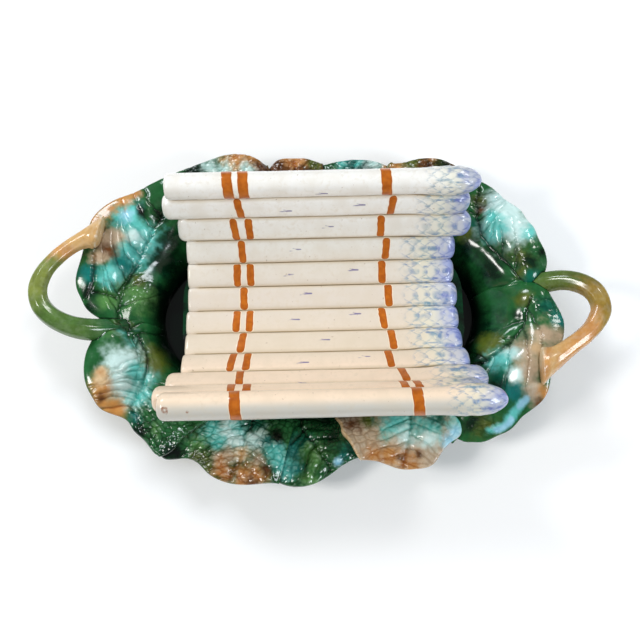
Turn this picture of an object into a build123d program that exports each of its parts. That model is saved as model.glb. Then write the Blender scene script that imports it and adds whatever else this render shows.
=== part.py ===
from build123d import *
import os
from math import cos, radians, sin, sqrt

os.makedirs("parts", exist_ok=True)

# An asparagus server in glazed earthenware: an oval dish walled with leaves, two stem handles, and a
# cradle of twelve stalks that lifts off. Millimetres. The origin is the middle of the dish at table
# level, X runs along the stalks with the bud tips at +X, and Y runs to the back.

# Dish: an oval slab on an oval foot ring.
WELL_HALF_LENGTH = 118
WELL_HALF_WIDTH = 70
FLOOR_TOP = 10
FLOOR_THICKNESS = 5
FOOT_HALF_LENGTH = 92
FOOT_HALF_WIDTH = 50
FOOT_WALL = 8

# Leaves: pressed sheets that rise from the slab and flatten towards the lip.
LEAF_THICKNESS = 5
LIP_THICKNESS = 3.5
LEAF_CROWN = 6
HEEL_OVERRUN = 3
KNEE = 0.2
KNEE_RISE = 0.75
SHOULDER = 0.68
UNDERSIDE_SLANT = 4
UNDERSIDE_DROP = 6
CUTTER_HEIGHT = 200

# Each leaf spans two headings, in degrees anticlockwise from +X. Its lip passes through stations at
# even headings, each given as reach from the middle of the dish and height above the table. Where two
# leaves meet, the higher one laps over the lower.
LEAVES = {
    "leaf_right_upper": (5, 42, [(157, 42), (166, 52), (162, 52), (159, 49), (156, 45), (150, 41)]),
    "leaf_back_right": (42, 62, [(153, 38), (150, 41), (145, 42), (136, 39), (127, 36)]),
    "leaf_back_mid_right": (62, 88, [(125, 33), (123, 37), (121, 38), (117, 36), (114, 33)]),
    "leaf_back_mid_left": (88, 108, [(114, 36), (118, 40), (120, 40), (120, 36)]),
    "leaf_back_left": (108, 138, [(122, 39), (132, 43), (139, 43), (143, 41), (148, 40), (153, 40)]),
    "leaf_left_upper": (
        138, 185,
        [(151, 43), (158, 46), (170, 49), (176, 52), (173, 54), (173, 53), (164, 47), (152, 42)],
    ),
    "leaf_left_lower": (185, 222, [(153, 45), (168, 50), (170, 50), (161, 45), (155, 40), (149, 37)]),
    "leaf_front_left": (222, 256, [(149, 34), (140, 33), (139, 36), (137, 37), (131, 37), (126, 35)]),
    "leaf_front_mid": (256, 282, [(125, 32), (126, 34), (122, 34), (114, 32), (109, 30)]),
    "leaf_front_right": (282, 315, [(110, 34), (116, 36), (127, 38), (132, 38), (132, 37), (133, 36)]),
    "leaf_right_lower": (
        315, 365,
        [(134, 32), (151, 35), (159, 41), (169, 49), (166, 54), (167, 54), (168, 51), (157, 45)],
    ),
}

# The four large leaves are folded along their midrib. At each station the crease is given as its share
# of the way along the upper curve from heel to lip, and its depth, which is never quite nothing.
CREASES = {
    "leaf_right_upper": [(0.8, 1.5), (0.53, 3), (0.5, 3), (0.57, 3), (0.78, 2), (0.95, 0.4)],
    "leaf_left_upper": [
        (0.73, 2), (0.64, 3), (0.53, 3), (0.46, 3), (0.44, 3), (0.46, 3), (0.55, 3), (0.76, 1.5),
    ],
    "leaf_left_lower": [(0.55, 2), (0.31, 3), (0.41, 3), (0.75, 2.5), (0.9, 0.5), (0.95, 0.4)],
    "leaf_right_lower": [
        (0.4, 0.4), (0.35, 0.4), (0.3, 0.5), (0.26, 2), (0.42, 3), (0.54, 3), (0.63, 3), (0.85, 1.5),
    ],
}
CREASE_SWELL = 1.0

# Handles: bent stems. Each is given by its centre line and radius, from the flared cut end on one leaf
# past a slender neck to the thicker end in the fold between two leaves. The right one lies opposite the
# left one, but its cut end is bent closer to the stalks. Both ends are pressed a few millimetres into
# the leaves while the clay is soft.
LEFT_HANDLE = [
    ((-150, 58, 61), 10),
    ((-153, 56, 61), 9.5),
    ((-161, 50, 62), 6.5),
    ((-171, 43, 64), 5.5),
    ((-181, 34, 65), 5.5),
    ((-189, 24, 65), 6),
    ((-193, 12, 65), 7),
    ((-191, 1, 64), 6.5),
    ((-184, -7, 61), 6.5),
    ((-173, -12, 57), 7),
    ((-161, -14, 52), 7.5),
    ((-149, -12, 46), 7),
    ((-138, -10, 42), 5),
]
RIGHT_HANDLE = [
    ((149, -51, 61), 10),
    ((152, -49, 61), 9.5),
    ((160, -44, 62), 7),
    ((170, -37, 64), 6),
    ((180, -30, 65), 6),
    ((188, -22, 65), 6.5),
    ((193, -12, 65), 7),
    ((191, -1, 64), 7),
    ((184, 7, 61), 7),
    ((173, 12, 57), 7),
    ((161, 13, 52), 7.5),
    ((149, 12, 46), 7),
    ((138, 10, 42), 5),
]
QUARTER_TURN = 90

# Cradle: stalks on an arc, each luted to its neighbours by a flat face.
TROUGH_RADIUS = 81
STALK_STEP = 12.6
LOWEST_STALK = 35
STALK_RADIUS = 9.2
BUTT_ROUND = 2.5
NECK_RADIUS = 8.9
BUD_LENGTH = 46
BUD_SWELL = 28
BUD_SWELL_RADIUS = 9.6
# Cut end and bud tip of each stalk along X, from the back of the trough to the front, and how blunt its
# tip is: the radius that the bud's curve aims for at the tip before it closes.
STALK_ENDS = [
    (-103, 114, 7), (-107, 108, 9), (-98, 110, 9), (-93, 99, 11.5), (-93, 98, 11.5), (-93, 100, 11.5),
    (-94, 100, 11.5), (-94, 101, 11.5), (-95, 104, 11), (-104, 114, 9), (-110, 110, 9), (-104, 120, 7),
]

# Stand: a hollow block under the stalks, open below, with a hollowed top.
STAND_LEFT = -100
STAND_RIGHT = 107
STAND_WIDTH = 92
STAND_CORNER = 34
STAND_WALL = 6
STAND_TAPER = 6
STAND_BLOCK_HEIGHT = 45
SEAT_SINK = 5
ROOF_THICKNESS = 6

TROUGH_CENTRE_HEIGHT = LOWEST_STALK + TROUGH_RADIUS
FLOOR_UNDERSIDE = FLOOR_TOP - FLOOR_THICKNESS


def well_edge_reach(heading):
    """Distance from the middle of the dish to the edge of the slab at a heading in radians."""
    across = WELL_HALF_WIDTH * cos(heading)
    along = WELL_HALF_LENGTH * sin(heading)
    return WELL_HALF_LENGTH * WELL_HALF_WIDTH / sqrt(across**2 + along**2)


def crease_curve(points, share, depth):
    """Two curves that follow one Bezier curve but meet in a crease, with a swelling on both sides."""
    level = [Vector(*point) for point in points]
    before, after = [level[0]], [level[-1]]
    while len(level) > 1:
        level = [start + (end - start) * share for start, end in zip(level, level[1:])]
        before.append(level[0])
        after.insert(0, level[-1])
    swell = Vector(0, depth * CREASE_SWELL)
    crease = before[-1] - Vector(0, depth)
    before = [*before[:-2], before[-2] + swell, crease]
    after = [crease, after[1] + swell, *after[2:]]
    return before, after


def make_leaf(first_heading, last_heading, lip, creases):
    """A leaf lofted through upright cuts at even headings, ending on the edge of the slab."""
    step = (last_heading - first_heading) / (len(lip) - 1)
    with BuildPart() as leaf:
        for station, (reach, lip_height) in enumerate(lip):
            heading = radians(first_heading + station * step)
            heel = well_edge_reach(heading)
            run = reach - heel
            rise = lip_height - FLOOR_TOP
            knee = heel + KNEE * run
            knee_height = FLOOR_TOP + KNEE_RISE * rise
            shoulder = heel + SHOULDER * run
            shoulder_height = lip_height + LEAF_CROWN
            upper_points = [
                (heel - HEEL_OVERRUN, FLOOR_TOP),
                (knee, knee_height),
                (shoulder, shoulder_height),
                (reach, lip_height),
            ]
            lower_points = [
                (reach, lip_height - LIP_THICKNESS),
                (shoulder, shoulder_height - LEAF_THICKNESS),
                (knee + UNDERSIDE_SLANT, knee_height - UNDERSIDE_DROP),
                (heel - HEEL_OVERRUN, FLOOR_UNDERSIDE),
            ]
            outward = (cos(heading), sin(heading), 0)
            upright = Plane(origin=(0, 0, 0), x_dir=outward, z_dir=(sin(heading), -cos(heading), 0))
            with BuildSketch(upright):
                with BuildLine():
                    if creases:
                        before, after = crease_curve(upper_points, *creases[station])
                        Bezier(*before)
                        Bezier(*after)
                    else:
                        Bezier(*upper_points)
                    Line(upper_points[-1], lower_points[0])
                    Bezier(*lower_points)
                    Line(lower_points[-1], upper_points[0])
                make_face()
        loft()
        add(well_cutter.part, mode=Mode.SUBTRACT)
    return leaf.part


def make_handle(line):
    """A stem lofted through round cuts along its centre line."""
    points = [Vector(*point) for point, radius in line]
    with BuildPart() as handle:
        for index, (point, radius) in enumerate(line):
            before = points[max(index - 1, 0)]
            after = points[min(index + 1, len(points) - 1)]
            with BuildSketch(Plane(origin=point, x_dir=(0, 0, 1), z_dir=after - before)):
                Circle(radius)
        loft()
    return handle.part


def make_stalk(number, cut_end, bud_tip, tip_radius):
    """A stalk turned about its own axis and trimmed flat where it meets its neighbours."""
    angle = (number - (len(STALK_ENDS) + 1) / 2) * STALK_STEP
    y = -TROUGH_RADIUS * sin(radians(angle))
    z = TROUGH_CENTRE_HEIGHT - TROUGH_RADIUS * cos(radians(angle))
    with BuildPart() as stalk:
        with BuildSketch(Plane.XY.offset(z)):
            with BuildLine():
                Line((cut_end, y), (cut_end, y + STALK_RADIUS - BUTT_ROUND))
                butt = JernArc(
                    start=(cut_end, y + STALK_RADIUS - BUTT_ROUND),
                    tangent=(0, 1),
                    radius=BUTT_ROUND,
                    arc_size=-QUARTER_TURN,
                )
                Line(butt @ 1, (bud_tip - BUD_LENGTH, y + NECK_RADIUS))
                Bezier(
                    (bud_tip - BUD_LENGTH, y + NECK_RADIUS),
                    (bud_tip - BUD_LENGTH + BUD_SWELL, y + BUD_SWELL_RADIUS),
                    (bud_tip, y + tip_radius),
                    (bud_tip, y),
                )
                Line((bud_tip, y), (cut_end, y))
            make_face()
        revolve(axis=Axis((0, y, z), (1, 0, 0)))
        for side_sign, has_neighbour in ((-1, number > 1), (1, number < len(STALK_ENDS))):
            if has_neighbour:
                seam = radians(angle + side_sign * STALK_STEP / 2)
                across = (0, -side_sign * cos(seam), side_sign * sin(seam))
                seam_plane = Plane(origin=(0, 0, TROUGH_CENTRE_HEIGHT), x_dir=(1, 0, 0), z_dir=across)
                split(bisect_by=seam_plane, keep=Keep.BOTTOM)
    return stalk.part


# Well floor
with BuildPart() as well_floor:
    with BuildSketch(Plane.XY.offset(FLOOR_UNDERSIDE)):
        Ellipse(WELL_HALF_LENGTH, WELL_HALF_WIDTH)
    extrude(amount=FLOOR_THICKNESS)

# Foot ring
with BuildPart() as foot_ring:
    with BuildSketch():
        Ellipse(FOOT_HALF_LENGTH, FOOT_HALF_WIDTH)
        Ellipse(FOOT_HALF_LENGTH - FOOT_WALL, FOOT_HALF_WIDTH - FOOT_WALL, mode=Mode.SUBTRACT)
    extrude(amount=FLOOR_UNDERSIDE)

# The space inside the edge of the slab, which every leaf stops at
with BuildPart() as well_cutter:
    with BuildSketch(Plane.XY.offset(-FLOOR_TOP)):
        Ellipse(WELL_HALF_LENGTH, WELL_HALF_WIDTH)
    extrude(amount=CUTTER_HEIGHT)

# Leaves, handles and stalks
pieces = {"well_floor": well_floor.part, "foot_ring": foot_ring.part}
for name, (first_heading, last_heading, lip) in LEAVES.items():
    pieces[name] = make_leaf(first_heading, last_heading, lip, CREASES.get(name))
pieces["left_handle"] = make_handle(LEFT_HANDLE)
pieces["right_handle"] = make_handle(RIGHT_HANDLE)
stalks = {}
for number, (cut_end, bud_tip, tip_radius) in enumerate(STALK_ENDS, start=1):
    stalks[f"stalk_{number:02d}"] = make_stalk(number, cut_end, bud_tip, tip_radius)

# Stand: tapered block, hollowed below, with a seat pressed by the stalks
STAND_LENGTH = STAND_RIGHT - STAND_LEFT
STAND_MIDDLE = (STAND_RIGHT + STAND_LEFT) / 2
with BuildPart() as trough_core:
    with BuildSketch(Plane.YZ.offset(STAND_LEFT - STAND_WALL)):
        with Locations((0, TROUGH_CENTRE_HEIGHT)):
            Circle(TROUGH_RADIUS + STALK_RADIUS + ROOF_THICKNESS)
    extrude(amount=STAND_LENGTH + 2 * STAND_WALL)
with BuildPart() as stand_hollow:
    with BuildSketch(Plane.XY.offset(FLOOR_TOP)):
        with Locations((STAND_MIDDLE, 0)):
            RectangleRounded(
                STAND_LENGTH - 2 * STAND_WALL, STAND_WIDTH - 2 * STAND_WALL, STAND_CORNER - STAND_WALL
            )
    extrude(amount=STAND_BLOCK_HEIGHT, taper=STAND_TAPER)
    add(trough_core.part, mode=Mode.SUBTRACT)
with BuildPart() as cradle_stand:
    with BuildSketch(Plane.XY.offset(FLOOR_TOP)):
        with Locations((STAND_MIDDLE, 0)):
            RectangleRounded(STAND_LENGTH, STAND_WIDTH, STAND_CORNER)
    extrude(amount=STAND_BLOCK_HEIGHT, taper=STAND_TAPER)
    with BuildSketch(Plane.YZ.offset(STAND_LEFT - STAND_WALL)):
        with Locations((0, TROUGH_CENTRE_HEIGHT)):
            Circle(TROUGH_RADIUS + SEAT_SINK)
    extrude(amount=STAND_LENGTH + 2 * STAND_WALL, mode=Mode.SUBTRACT)
    add(stand_hollow.part, mode=Mode.SUBTRACT)
    for stalk in stalks.values():
        add(stalk, mode=Mode.SUBTRACT)
pieces["cradle_stand"] = cradle_stand.part
pieces.update(stalks)

for name, piece in pieces.items():
    piece.label = name
    export_step(piece, f"parts/{name}.step")
    box = piece.bounding_box()
    print(name, f"{piece.volume / 1000:.1f} cm3, z {box.min.Z:.1f} to {box.max.Z:.1f}")
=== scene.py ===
# %% [markdown]
# # An asparagus server in coloured glazes
# The real object is earthenware. A potter lines an oval slab with pressed cabbage leaves, bends two
# leaf stems into handles, and lays twelve white stalks side by side on a green stand in the middle.
# The CAD model already has every piece at its real size and place, so this lesson only gives each
# piece the surface that clay, fingers and glaze leave on it. We work in metres, in the CAD frame.

# %% Load the packed model
from math import atan2, cos, pi, radians, sin
from types import SimpleNamespace

import bpy
import numpy as np
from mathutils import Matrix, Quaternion, Vector
from mathutils.bvhtree import BVHTree


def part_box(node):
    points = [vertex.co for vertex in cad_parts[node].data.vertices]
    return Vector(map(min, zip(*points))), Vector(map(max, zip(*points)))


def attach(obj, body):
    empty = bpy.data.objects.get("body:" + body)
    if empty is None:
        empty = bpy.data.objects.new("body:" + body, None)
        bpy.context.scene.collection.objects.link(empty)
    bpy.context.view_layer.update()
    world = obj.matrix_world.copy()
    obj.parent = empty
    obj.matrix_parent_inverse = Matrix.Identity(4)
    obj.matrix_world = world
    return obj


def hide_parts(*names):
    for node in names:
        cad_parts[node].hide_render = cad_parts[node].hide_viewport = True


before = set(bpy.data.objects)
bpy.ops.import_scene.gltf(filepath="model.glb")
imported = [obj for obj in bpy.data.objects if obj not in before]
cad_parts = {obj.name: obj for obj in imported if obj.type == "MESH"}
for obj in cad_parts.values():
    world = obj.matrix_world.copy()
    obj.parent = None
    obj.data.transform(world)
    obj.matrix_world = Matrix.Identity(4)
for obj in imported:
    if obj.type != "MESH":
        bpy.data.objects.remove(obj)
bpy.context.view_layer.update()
MM = 0.001

# %% [markdown]
# ## Camera
# The picture looks steeply down on the table, a little from the front, with the whole dish turned
# about one degree. A camera can be placed by hand and eye, but here its height, distance and turn
# are written down, because the twelve evenly spaced stalks let us work them out from the picture.
# The picture counts as 640 pixels square, and the aim point stands a little above its middle.

# %% Camera
IMAGE_PIXELS = 640
FOCAL_PIXELS = 872
AIM_ROW = 299.4
VIEW_ELEVATION = radians(74.3)
VIEW_DISTANCE = 0.600
VIEW_AIM = Vector((0.0014, 0, 0.063))
VIEW_ROLL = radians(1.3)
SENSOR_WIDTH = 36

towards_viewer = Vector((0, -cos(VIEW_ELEVATION), sin(VIEW_ELEVATION)))
camera_data = bpy.data.cameras.new("camera")
camera_data.sensor_width = SENSOR_WIDTH
camera_data.lens = SENSOR_WIDTH * FOCAL_PIXELS / IMAGE_PIXELS
camera_data.shift_y = (AIM_ROW - IMAGE_PIXELS / 2) / IMAGE_PIXELS
camera = bpy.data.objects.new("camera", camera_data)
bpy.context.scene.collection.objects.link(camera)
camera.location = VIEW_AIM + towards_viewer * VIEW_DISTANCE
camera.rotation_mode = "QUATERNION"
level = (-towards_viewer).to_track_quat("-Z", "Y")
camera.rotation_quaternion = level @ Quaternion((0, 0, 1), -VIEW_ROLL)
bpy.context.scene.camera = camera
bpy.context.scene.view_settings.view_transform = "Standard"
print("lens:", round(camera_data.lens, 1), "mm")

# %% [markdown]
# ## Writing materials as sums
# A glaze is several things at once: a colour brushed on in patches, a darker colour where it pooled
# in the veins, and a thin clear gloss over all of it. In the shader editor that is a web of small
# Math nodes. To keep it readable we wrap a socket in a class, so that a sum in Python adds the nodes.

# %% A socket with arithmetic
# The sockets of a Mix node that count when it mixes colours
MIX_FACTOR, MIX_FIRST, MIX_SECOND, MIX_RESULT = 0, 6, 7, 2


class Wire:
    """One socket of a material, with arithmetic that adds Math nodes."""

    def __init__(self, tree, socket):
        self.tree = tree
        self.socket = socket

    def node(self, kind, settings=None, inputs=None, output=0):
        """Adds any node: its settings first, then the values or links of its sockets."""
        made = self.tree.nodes.new(kind)
        for name, value in (settings or {}).items():
            setattr(made, name, value)
        for name, value in (inputs or {}).items():
            join(self.tree, value, made.inputs[name])
        return Wire(self.tree, made.outputs[output])

    def math(self, operation, first, second):
        return self.node("ShaderNodeMath", {"operation": operation}, {0: first, 1: second})

    def __add__(self, other):
        return self.math("ADD", self, other)

    def __radd__(self, other):
        return self.math("ADD", other, self)

    def __mul__(self, other):
        return self.math("MULTIPLY", self, other)

    def __rmul__(self, other):
        return self.math("MULTIPLY", other, self)

    def larger(self, other):
        return self.math("MAXIMUM", self, other)

    def ease(self, low, high):
        """0 below low, 1 above high and smooth between; the other way round where low is higher."""
        settings = {"interpolation_type": "SMOOTHSTEP"}
        if low < high:
            limits = {"From Min": low, "From Max": high, "To Min": 0.0, "To Max": 1.0}
        else:
            limits = {"From Min": high, "From Max": low, "To Min": 1.0, "To Max": 0.0}
        return self.node("ShaderNodeMapRange", settings, {"Value": self, **limits})

    def mix(self, first, second):
        """The first colour where this value is 0 and the second where it is 1."""
        inputs = {MIX_FACTOR: self, MIX_FIRST: first, MIX_SECOND: second}
        return self.node("ShaderNodeMix", {"data_type": "RGBA"}, inputs, MIX_RESULT)

    def mixed(self, other, share, blend="MIX"):
        """This colour with an even share of another mixed in."""
        inputs = {MIX_FACTOR: share, MIX_FIRST: self, MIX_SECOND: other}
        return self.node("ShaderNodeMix", {"data_type": "RGBA", "blend_type": blend}, inputs, MIX_RESULT)

    def noise(self, scale, detail, seed):
        """Noise from 0 to 1 on this place. A seed moves to another part of the noise."""
        inputs = {"Vector": self, "W": seed, "Scale": scale, "Detail": detail}
        return self.node("ShaderNodeTexNoise", {"noise_dimensions": "4D"}, inputs)

    def cloud(self, scale, detail, seed, start, full):
        """Noise made into clouds: 0 where it is below the start value and 1 above the full one."""
        return self.noise(scale, detail, seed).ease(start, full)

    def attribute(self, name, output="Fac"):
        return self.node("ShaderNodeAttribute", {"attribute_name": name}, output=output)


def join(tree, value, socket):
    """Links a wire to a socket, or sets the socket to a plain value."""
    if isinstance(value, Wire):
        tree.links.new(value.socket, socket)
    else:
        socket.default_value = value


print("a wire can:", [name for name in vars(Wire) if not name.startswith("_")])

# %% [markdown]
# ## Colours and finishes
# The colours of a glaze are chosen on a screen, but light adds up in linear values, so every
# colour is turned into those first. All finishes start alike: a body with some roughness, a clear coat
# that does the shining, and a fine relief, because no glazed surface is as flat as window glass.

# %% Colours and finishes
SCREEN_WHITE = 255
# Screen colours are straight up to the toe and follow a power above it
TOE = 0.04045
TOE_SLOPE = 12.92
CURVE_OFFSET = 0.055
CURVE_POWER = 2.4
COAT_ROUGHNESS = 0.16
PLAIN_SPECULAR = 0.5


def linear(red, green, blue):
    """A screen colour, 0 to 255, as the linear colour that Blender mixes."""
    shares = [part / SCREEN_WHITE for part in (red, green, blue)]
    return [
        share / TOE_SLOPE if share <= TOE else ((share + CURVE_OFFSET) / (1 + CURVE_OFFSET)) ** CURVE_POWER
        for share in shares
    ]


def colour(red, green, blue):
    return (*linear(red, green, blue), 1.0)


def new_finish(name, roughness, gloss):
    """A new material, its surface and a wire with the place on the piece. A coat does the shining."""
    material = bpy.data.materials.new(name)
    material.use_nodes = True
    tree = material.node_tree
    surface = tree.nodes["Principled BSDF"]
    surface.inputs["Roughness"].default_value = roughness
    surface.inputs["Coat Weight"].default_value = gloss
    surface.inputs["Coat Roughness"].default_value = COAT_ROUGHNESS
    surface.inputs["Specular IOR Level"].default_value = PLAIN_SPECULAR * (1 - gloss)
    place = Wire(tree, tree.nodes.new("ShaderNodeTexCoord").outputs["Object"])
    return material, surface, place


def dress(surface, painted, relief, strength, depth):
    """Gives a surface its colour, and a fine relief that is so many metres deep."""
    inputs = {"Strength": strength, "Distance": depth, "Height": relief}
    join(painted.tree, painted, surface.inputs["Base Color"])
    join(painted.tree, painted.node("ShaderNodeBump", None, inputs), surface.inputs["Normal"])


HALF_GREY = (128, 128, 128)
print("half grey in linear light:", [round(part, 3) for part in linear(*HALF_GREY)])

# %% [markdown]
# ## Table and light
# The dish stands on a plain white table. Glossy glaze shows what stands round it, so the light comes
# from a few soft panels, which draw clear streaks on the stems and the leaf edges, and the rest of
# the room is grey. The lamps are only as strong as a white sheet needs to look white.

# %% Table
TABLE_SIZE = 14.0
TABLE_WHITE = colour(254, 254, 254)
bpy.ops.object.select_all(action="DESELECT")
bpy.ops.mesh.primitive_plane_add(size=TABLE_SIZE, location=(0, 0, 0))
table = bpy.context.object
table.name = "table"
table_paint, table_surface, _ = new_finish("table_paint", roughness=0.9, gloss=0.0)
table_surface.inputs["Base Color"].default_value = TABLE_WHITE
table.data.materials.append(table_paint)
print("table:", TABLE_SIZE, "m square")

# %% Light
ROOM_GREY = (0.95, 0.97, 1.0, 1.0)
ROOM_STRENGTH = 0.16
WINDOW_WHITE = (0.88, 0.94, 1.0)
LAMP_WHITE = (1.0, 0.98, 0.95)
# Place, size across and along, strength in watts, colour
PANELS = {
    "right_window": ((0.9, -0.55, 0.9), (0.42, 0.42), 10.0, WINDOW_WHITE),
    "back_window": ((-0.65, 0.85, 0.95), (0.5, 0.3), 9.5, WINDOW_WHITE),
    "left_lamp": ((-0.85, -0.2, 1.1), (0.3, 0.3), 8.0, LAMP_WHITE),
    "back_lamp": ((0.7, 0.75, 1.1), (0.25, 0.25), 4.0, LAMP_WHITE),
}
PANEL_AIM = Vector((0, 0, 0.04))

world = bpy.data.worlds.new("room")
world.use_nodes = True
world.node_tree.nodes["Background"].inputs["Color"].default_value = ROOM_GREY
world.node_tree.nodes["Background"].inputs["Strength"].default_value = ROOM_STRENGTH
bpy.context.scene.world = world
for name, (place, size, watts, tint) in PANELS.items():
    lamp = bpy.data.lights.new(name, "AREA")
    lamp.shape = "RECTANGLE"
    lamp.size, lamp.size_y = size
    lamp.energy = watts
    lamp.color = tint
    panel = bpy.data.objects.new(name, lamp)
    bpy.context.scene.collection.objects.link(panel)
    panel.location = place
    panel.rotation_mode = "QUATERNION"
    panel.rotation_quaternion = (PANEL_AIM - panel.location).to_track_quat("-Z", "Y")
print("lamps:", len(PANELS))

# %% [markdown]
# ## Tools for shaping clay
# Hand work is never quite even. Patches of smooth random height stand for it, read from one small
# table of seeded random numbers so that every run gives the same dish. The fine network on a leaf is
# a cell pattern: each spot belongs to its nearest seed, and the veins run where two seeds are equally
# near. A groove is a bell curve across a line.

# %% Random patches, cells and lines
TABLE_CELLS = 64
CELL_JITTER = 0.36


def ease(low, high, values):
    """0 at low, 1 at high, smooth between."""
    share = np.clip((values - low) / (high - low), 0, 1)
    return share * share * (3 - 2 * share)


def patches(along, across, size, seed):
    """Smooth random patches of about the given size, from -1 to 1."""
    heights = np.random.default_rng(seed).uniform(-1, 1, (TABLE_CELLS, TABLE_CELLS))
    column, u = np.divmod(along / size, 1)
    row, v = np.divmod(across / size, 1)
    column = column.astype(int) % TABLE_CELLS
    row = row.astype(int) % TABLE_CELLS
    next_column = (column + 1) % TABLE_CELLS
    next_row = (row + 1) % TABLE_CELLS
    u = ease(0, 1, u)
    v = ease(0, 1, v)
    near = heights[column, row] * (1 - u) + heights[next_column, row] * u
    far = heights[column, next_row] * (1 - u) + heights[next_column, next_row] * u
    return near * (1 - v) + far * v


def waves(along, across, sizes, seed):
    """Patches of several sizes on one another, each size with its strength."""
    found = 0
    for order, (size, strength) in enumerate(sizes):
        found = found + strength * patches(along, across, size, seed + order)
    return found


def cells(along, across, size, seed):
    """Distance to the nearest border of a network of cells of about the given size."""
    table_shape = (TABLE_CELLS, TABLE_CELLS, 2)
    shifts = np.random.default_rng(seed).uniform(-CELL_JITTER, CELL_JITTER, table_shape)
    column = np.floor(along / size).astype(int)
    row = np.floor(across / size).astype(int)
    nearest = np.full(along.shape, np.inf)
    second = np.full(along.shape, np.inf)
    for column_step in (-1, 0, 1):
        for row_step in (-1, 0, 1):
            shift = shifts[(column + column_step) % TABLE_CELLS, (row + row_step) % TABLE_CELLS]
            middle_along = (column + column_step + 0.5 + shift[..., 0]) * size
            middle_across = (row + row_step + 0.5 + shift[..., 1]) * size
            distance = np.hypot(along - middle_along, across - middle_across)
            second = np.minimum(second, np.maximum(nearest, distance))
            nearest = np.minimum(nearest, distance)
    return (second - nearest) / 2


def line_distance(along, across, line):
    """Distance to a bent line, and how far along it, 0 to 1, the nearest spot lies."""
    line = np.asarray(line, float)
    best = np.full(along.shape, np.inf)
    share = np.zeros(along.shape)
    runs = len(line) - 1
    for index in range(runs):
        start = line[index]
        step = line[index + 1] - start
        reach = ((along - start[0]) * step[0] + (across - start[1]) * step[1]) / (step @ step)
        reach = np.clip(reach, 0, 1)
        distance = np.hypot(along - start[0] - reach * step[0], across - start[1] - reach * step[1])
        closer = distance < best
        best = np.where(closer, distance, best)
        share = np.where(closer, (index + reach) / runs, share)
    return best, share


def groove(distance, width):
    """1 on a line and falling to nothing beside it, like a bell."""
    return np.exp(-((distance / width) ** 2))


print("a patch:", np.round(patches(np.array([3.0]), np.array([5.0]), 4.0, 1), 3))

# %% [markdown]
# ## Starting every piece from a grid
# Leaves, stems and stalks all start as Blender's grid primitive, because a grid has two directions
# that are easy to follow: across and along. Its points are then laid on the piece's real shape. A
# leaf gets its thickness from the Solidify modifier while the grid is still flat. A stem or stalk is
# wrapped round until its edges meet, and merging by distance closes the seam and both ends.

# %% Grids
SHEET_GAP = 0.1
MERGE_DISTANCE = 0.000002


def points_of(piece):
    """The points of a mesh as rows of x, y, z."""
    flat = np.zeros(len(piece.data.vertices) * 3)
    piece.data.vertices.foreach_get("co", flat)
    return flat.reshape(-1, 3)


def place_points(piece, points):
    piece.data.vertices.foreach_set("co", np.ascontiguousarray(points, float).ravel())
    piece.data.update()


def new_grid(name, across, along):
    """A flat grid from 0 to 1 both ways, and each point's share across and along."""
    bpy.ops.object.select_all(action="DESELECT")
    bpy.ops.mesh.primitive_grid_add(x_subdivisions=across, y_subdivisions=along, size=1)
    piece = bpy.context.object
    piece.name = name
    piece.data.name = name
    spots = points_of(piece)
    return piece, spots[:, 0] + 0.5, spots[:, 1] + 0.5


def thicken(piece):
    """Gives a flat grid a second side. Returns share across, share along and which points are on top."""
    solidify = piece.modifiers.new("thickness", "SOLIDIFY")
    solidify.thickness = SHEET_GAP
    solidify.offset = -1
    bpy.ops.object.modifier_apply(modifier=solidify.name)
    spots = points_of(piece)
    return spots[:, 0] + 0.5, spots[:, 1] + 0.5, spots[:, 2] > -SHEET_GAP / 2


def close_seams(piece):
    """Merges the points that wrapping brought together."""
    bpy.context.view_layer.objects.active = piece
    bpy.ops.object.mode_set(mode="EDIT")
    bpy.ops.mesh.select_all(action="SELECT")
    bpy.ops.mesh.remove_doubles(threshold=MERGE_DISTANCE)
    bpy.ops.object.mode_set(mode="OBJECT")


def store(piece, name, values):
    """Keeps a number or a colour for each point, for the material to read."""
    if values.ndim == 2:
        layer = piece.data.attributes.new(name, "FLOAT_COLOR", "POINT")
        rgba = np.column_stack([values, np.ones(len(values))])
        layer.data.foreach_set("color", rgba.astype(np.float32).ravel())
    else:
        layer = piece.data.attributes.new(name, "FLOAT", "POINT")
        layer.data.foreach_set("value", values.astype(np.float32))


def hand_over(piece, node, body, finish):
    """Finishes a piece: smooth shading, its material, its body and the CAD node it stands for."""
    bpy.ops.object.select_all(action="DESELECT")
    piece.select_set(True)
    bpy.context.view_layer.objects.active = piece
    bpy.ops.object.shade_smooth()
    piece.data.materials.append(finish)
    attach(piece, body)
    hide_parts(node)


print("seams closer than", MERGE_DISTANCE / MM, "mm are closed")

# %% [markdown]
# ## The glazes
# The decorator works from eighteen pots of coloured glaze. Each has a name here, and every leaf and
# stem is painted from them, one daub over another, with wet uneven edges. Two pots also paint light:
# black is laid as painted shade, and sky as painted sheen.

# %% Pots of glaze and the brush
GLAZES = {
    # Black is painted shade: it darkens the deep inner wall and the holes and folds of the leaves.
    "black": (3, 9, 6),
    "deep green": (6, 42, 22),
    "green": (38, 104, 54),
    "light green": (98, 152, 82),
    "emerald": (12, 102, 80),
    "teal": (18, 126, 118),
    "turquoise": (112, 210, 202),
    "aqua": (218, 244, 240),
    # The sky pot is painted sheen: pale blue highlights of light on ridges and lips.
    "sky": (172, 222, 238),
    "olive": (96, 110, 38),
    "leaf green": (88, 122, 52),
    "pear green": (132, 144, 62),
    "mustard": (158, 128, 46),
    "straw": (216, 174, 112),
    "ochre": (208, 150, 82),
    "cream": (232, 204, 162),
    "tan": (206, 184, 156),
    "brown": (112, 66, 28),
}
POTS = {name: np.array(linear(*shade)) for name, shade in GLAZES.items()}
# A daub is solid up to the first share of its radius and gone at the second
DAUB_FADE = (0.15, 1.5)
# Size in millimetres, strength and seed of the waves in a daub's edge
DAUB_WAVES = [(9.0, 0.3, 0), (3.0, 0.25, 50), (1.2, 0.15, 80)]


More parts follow.
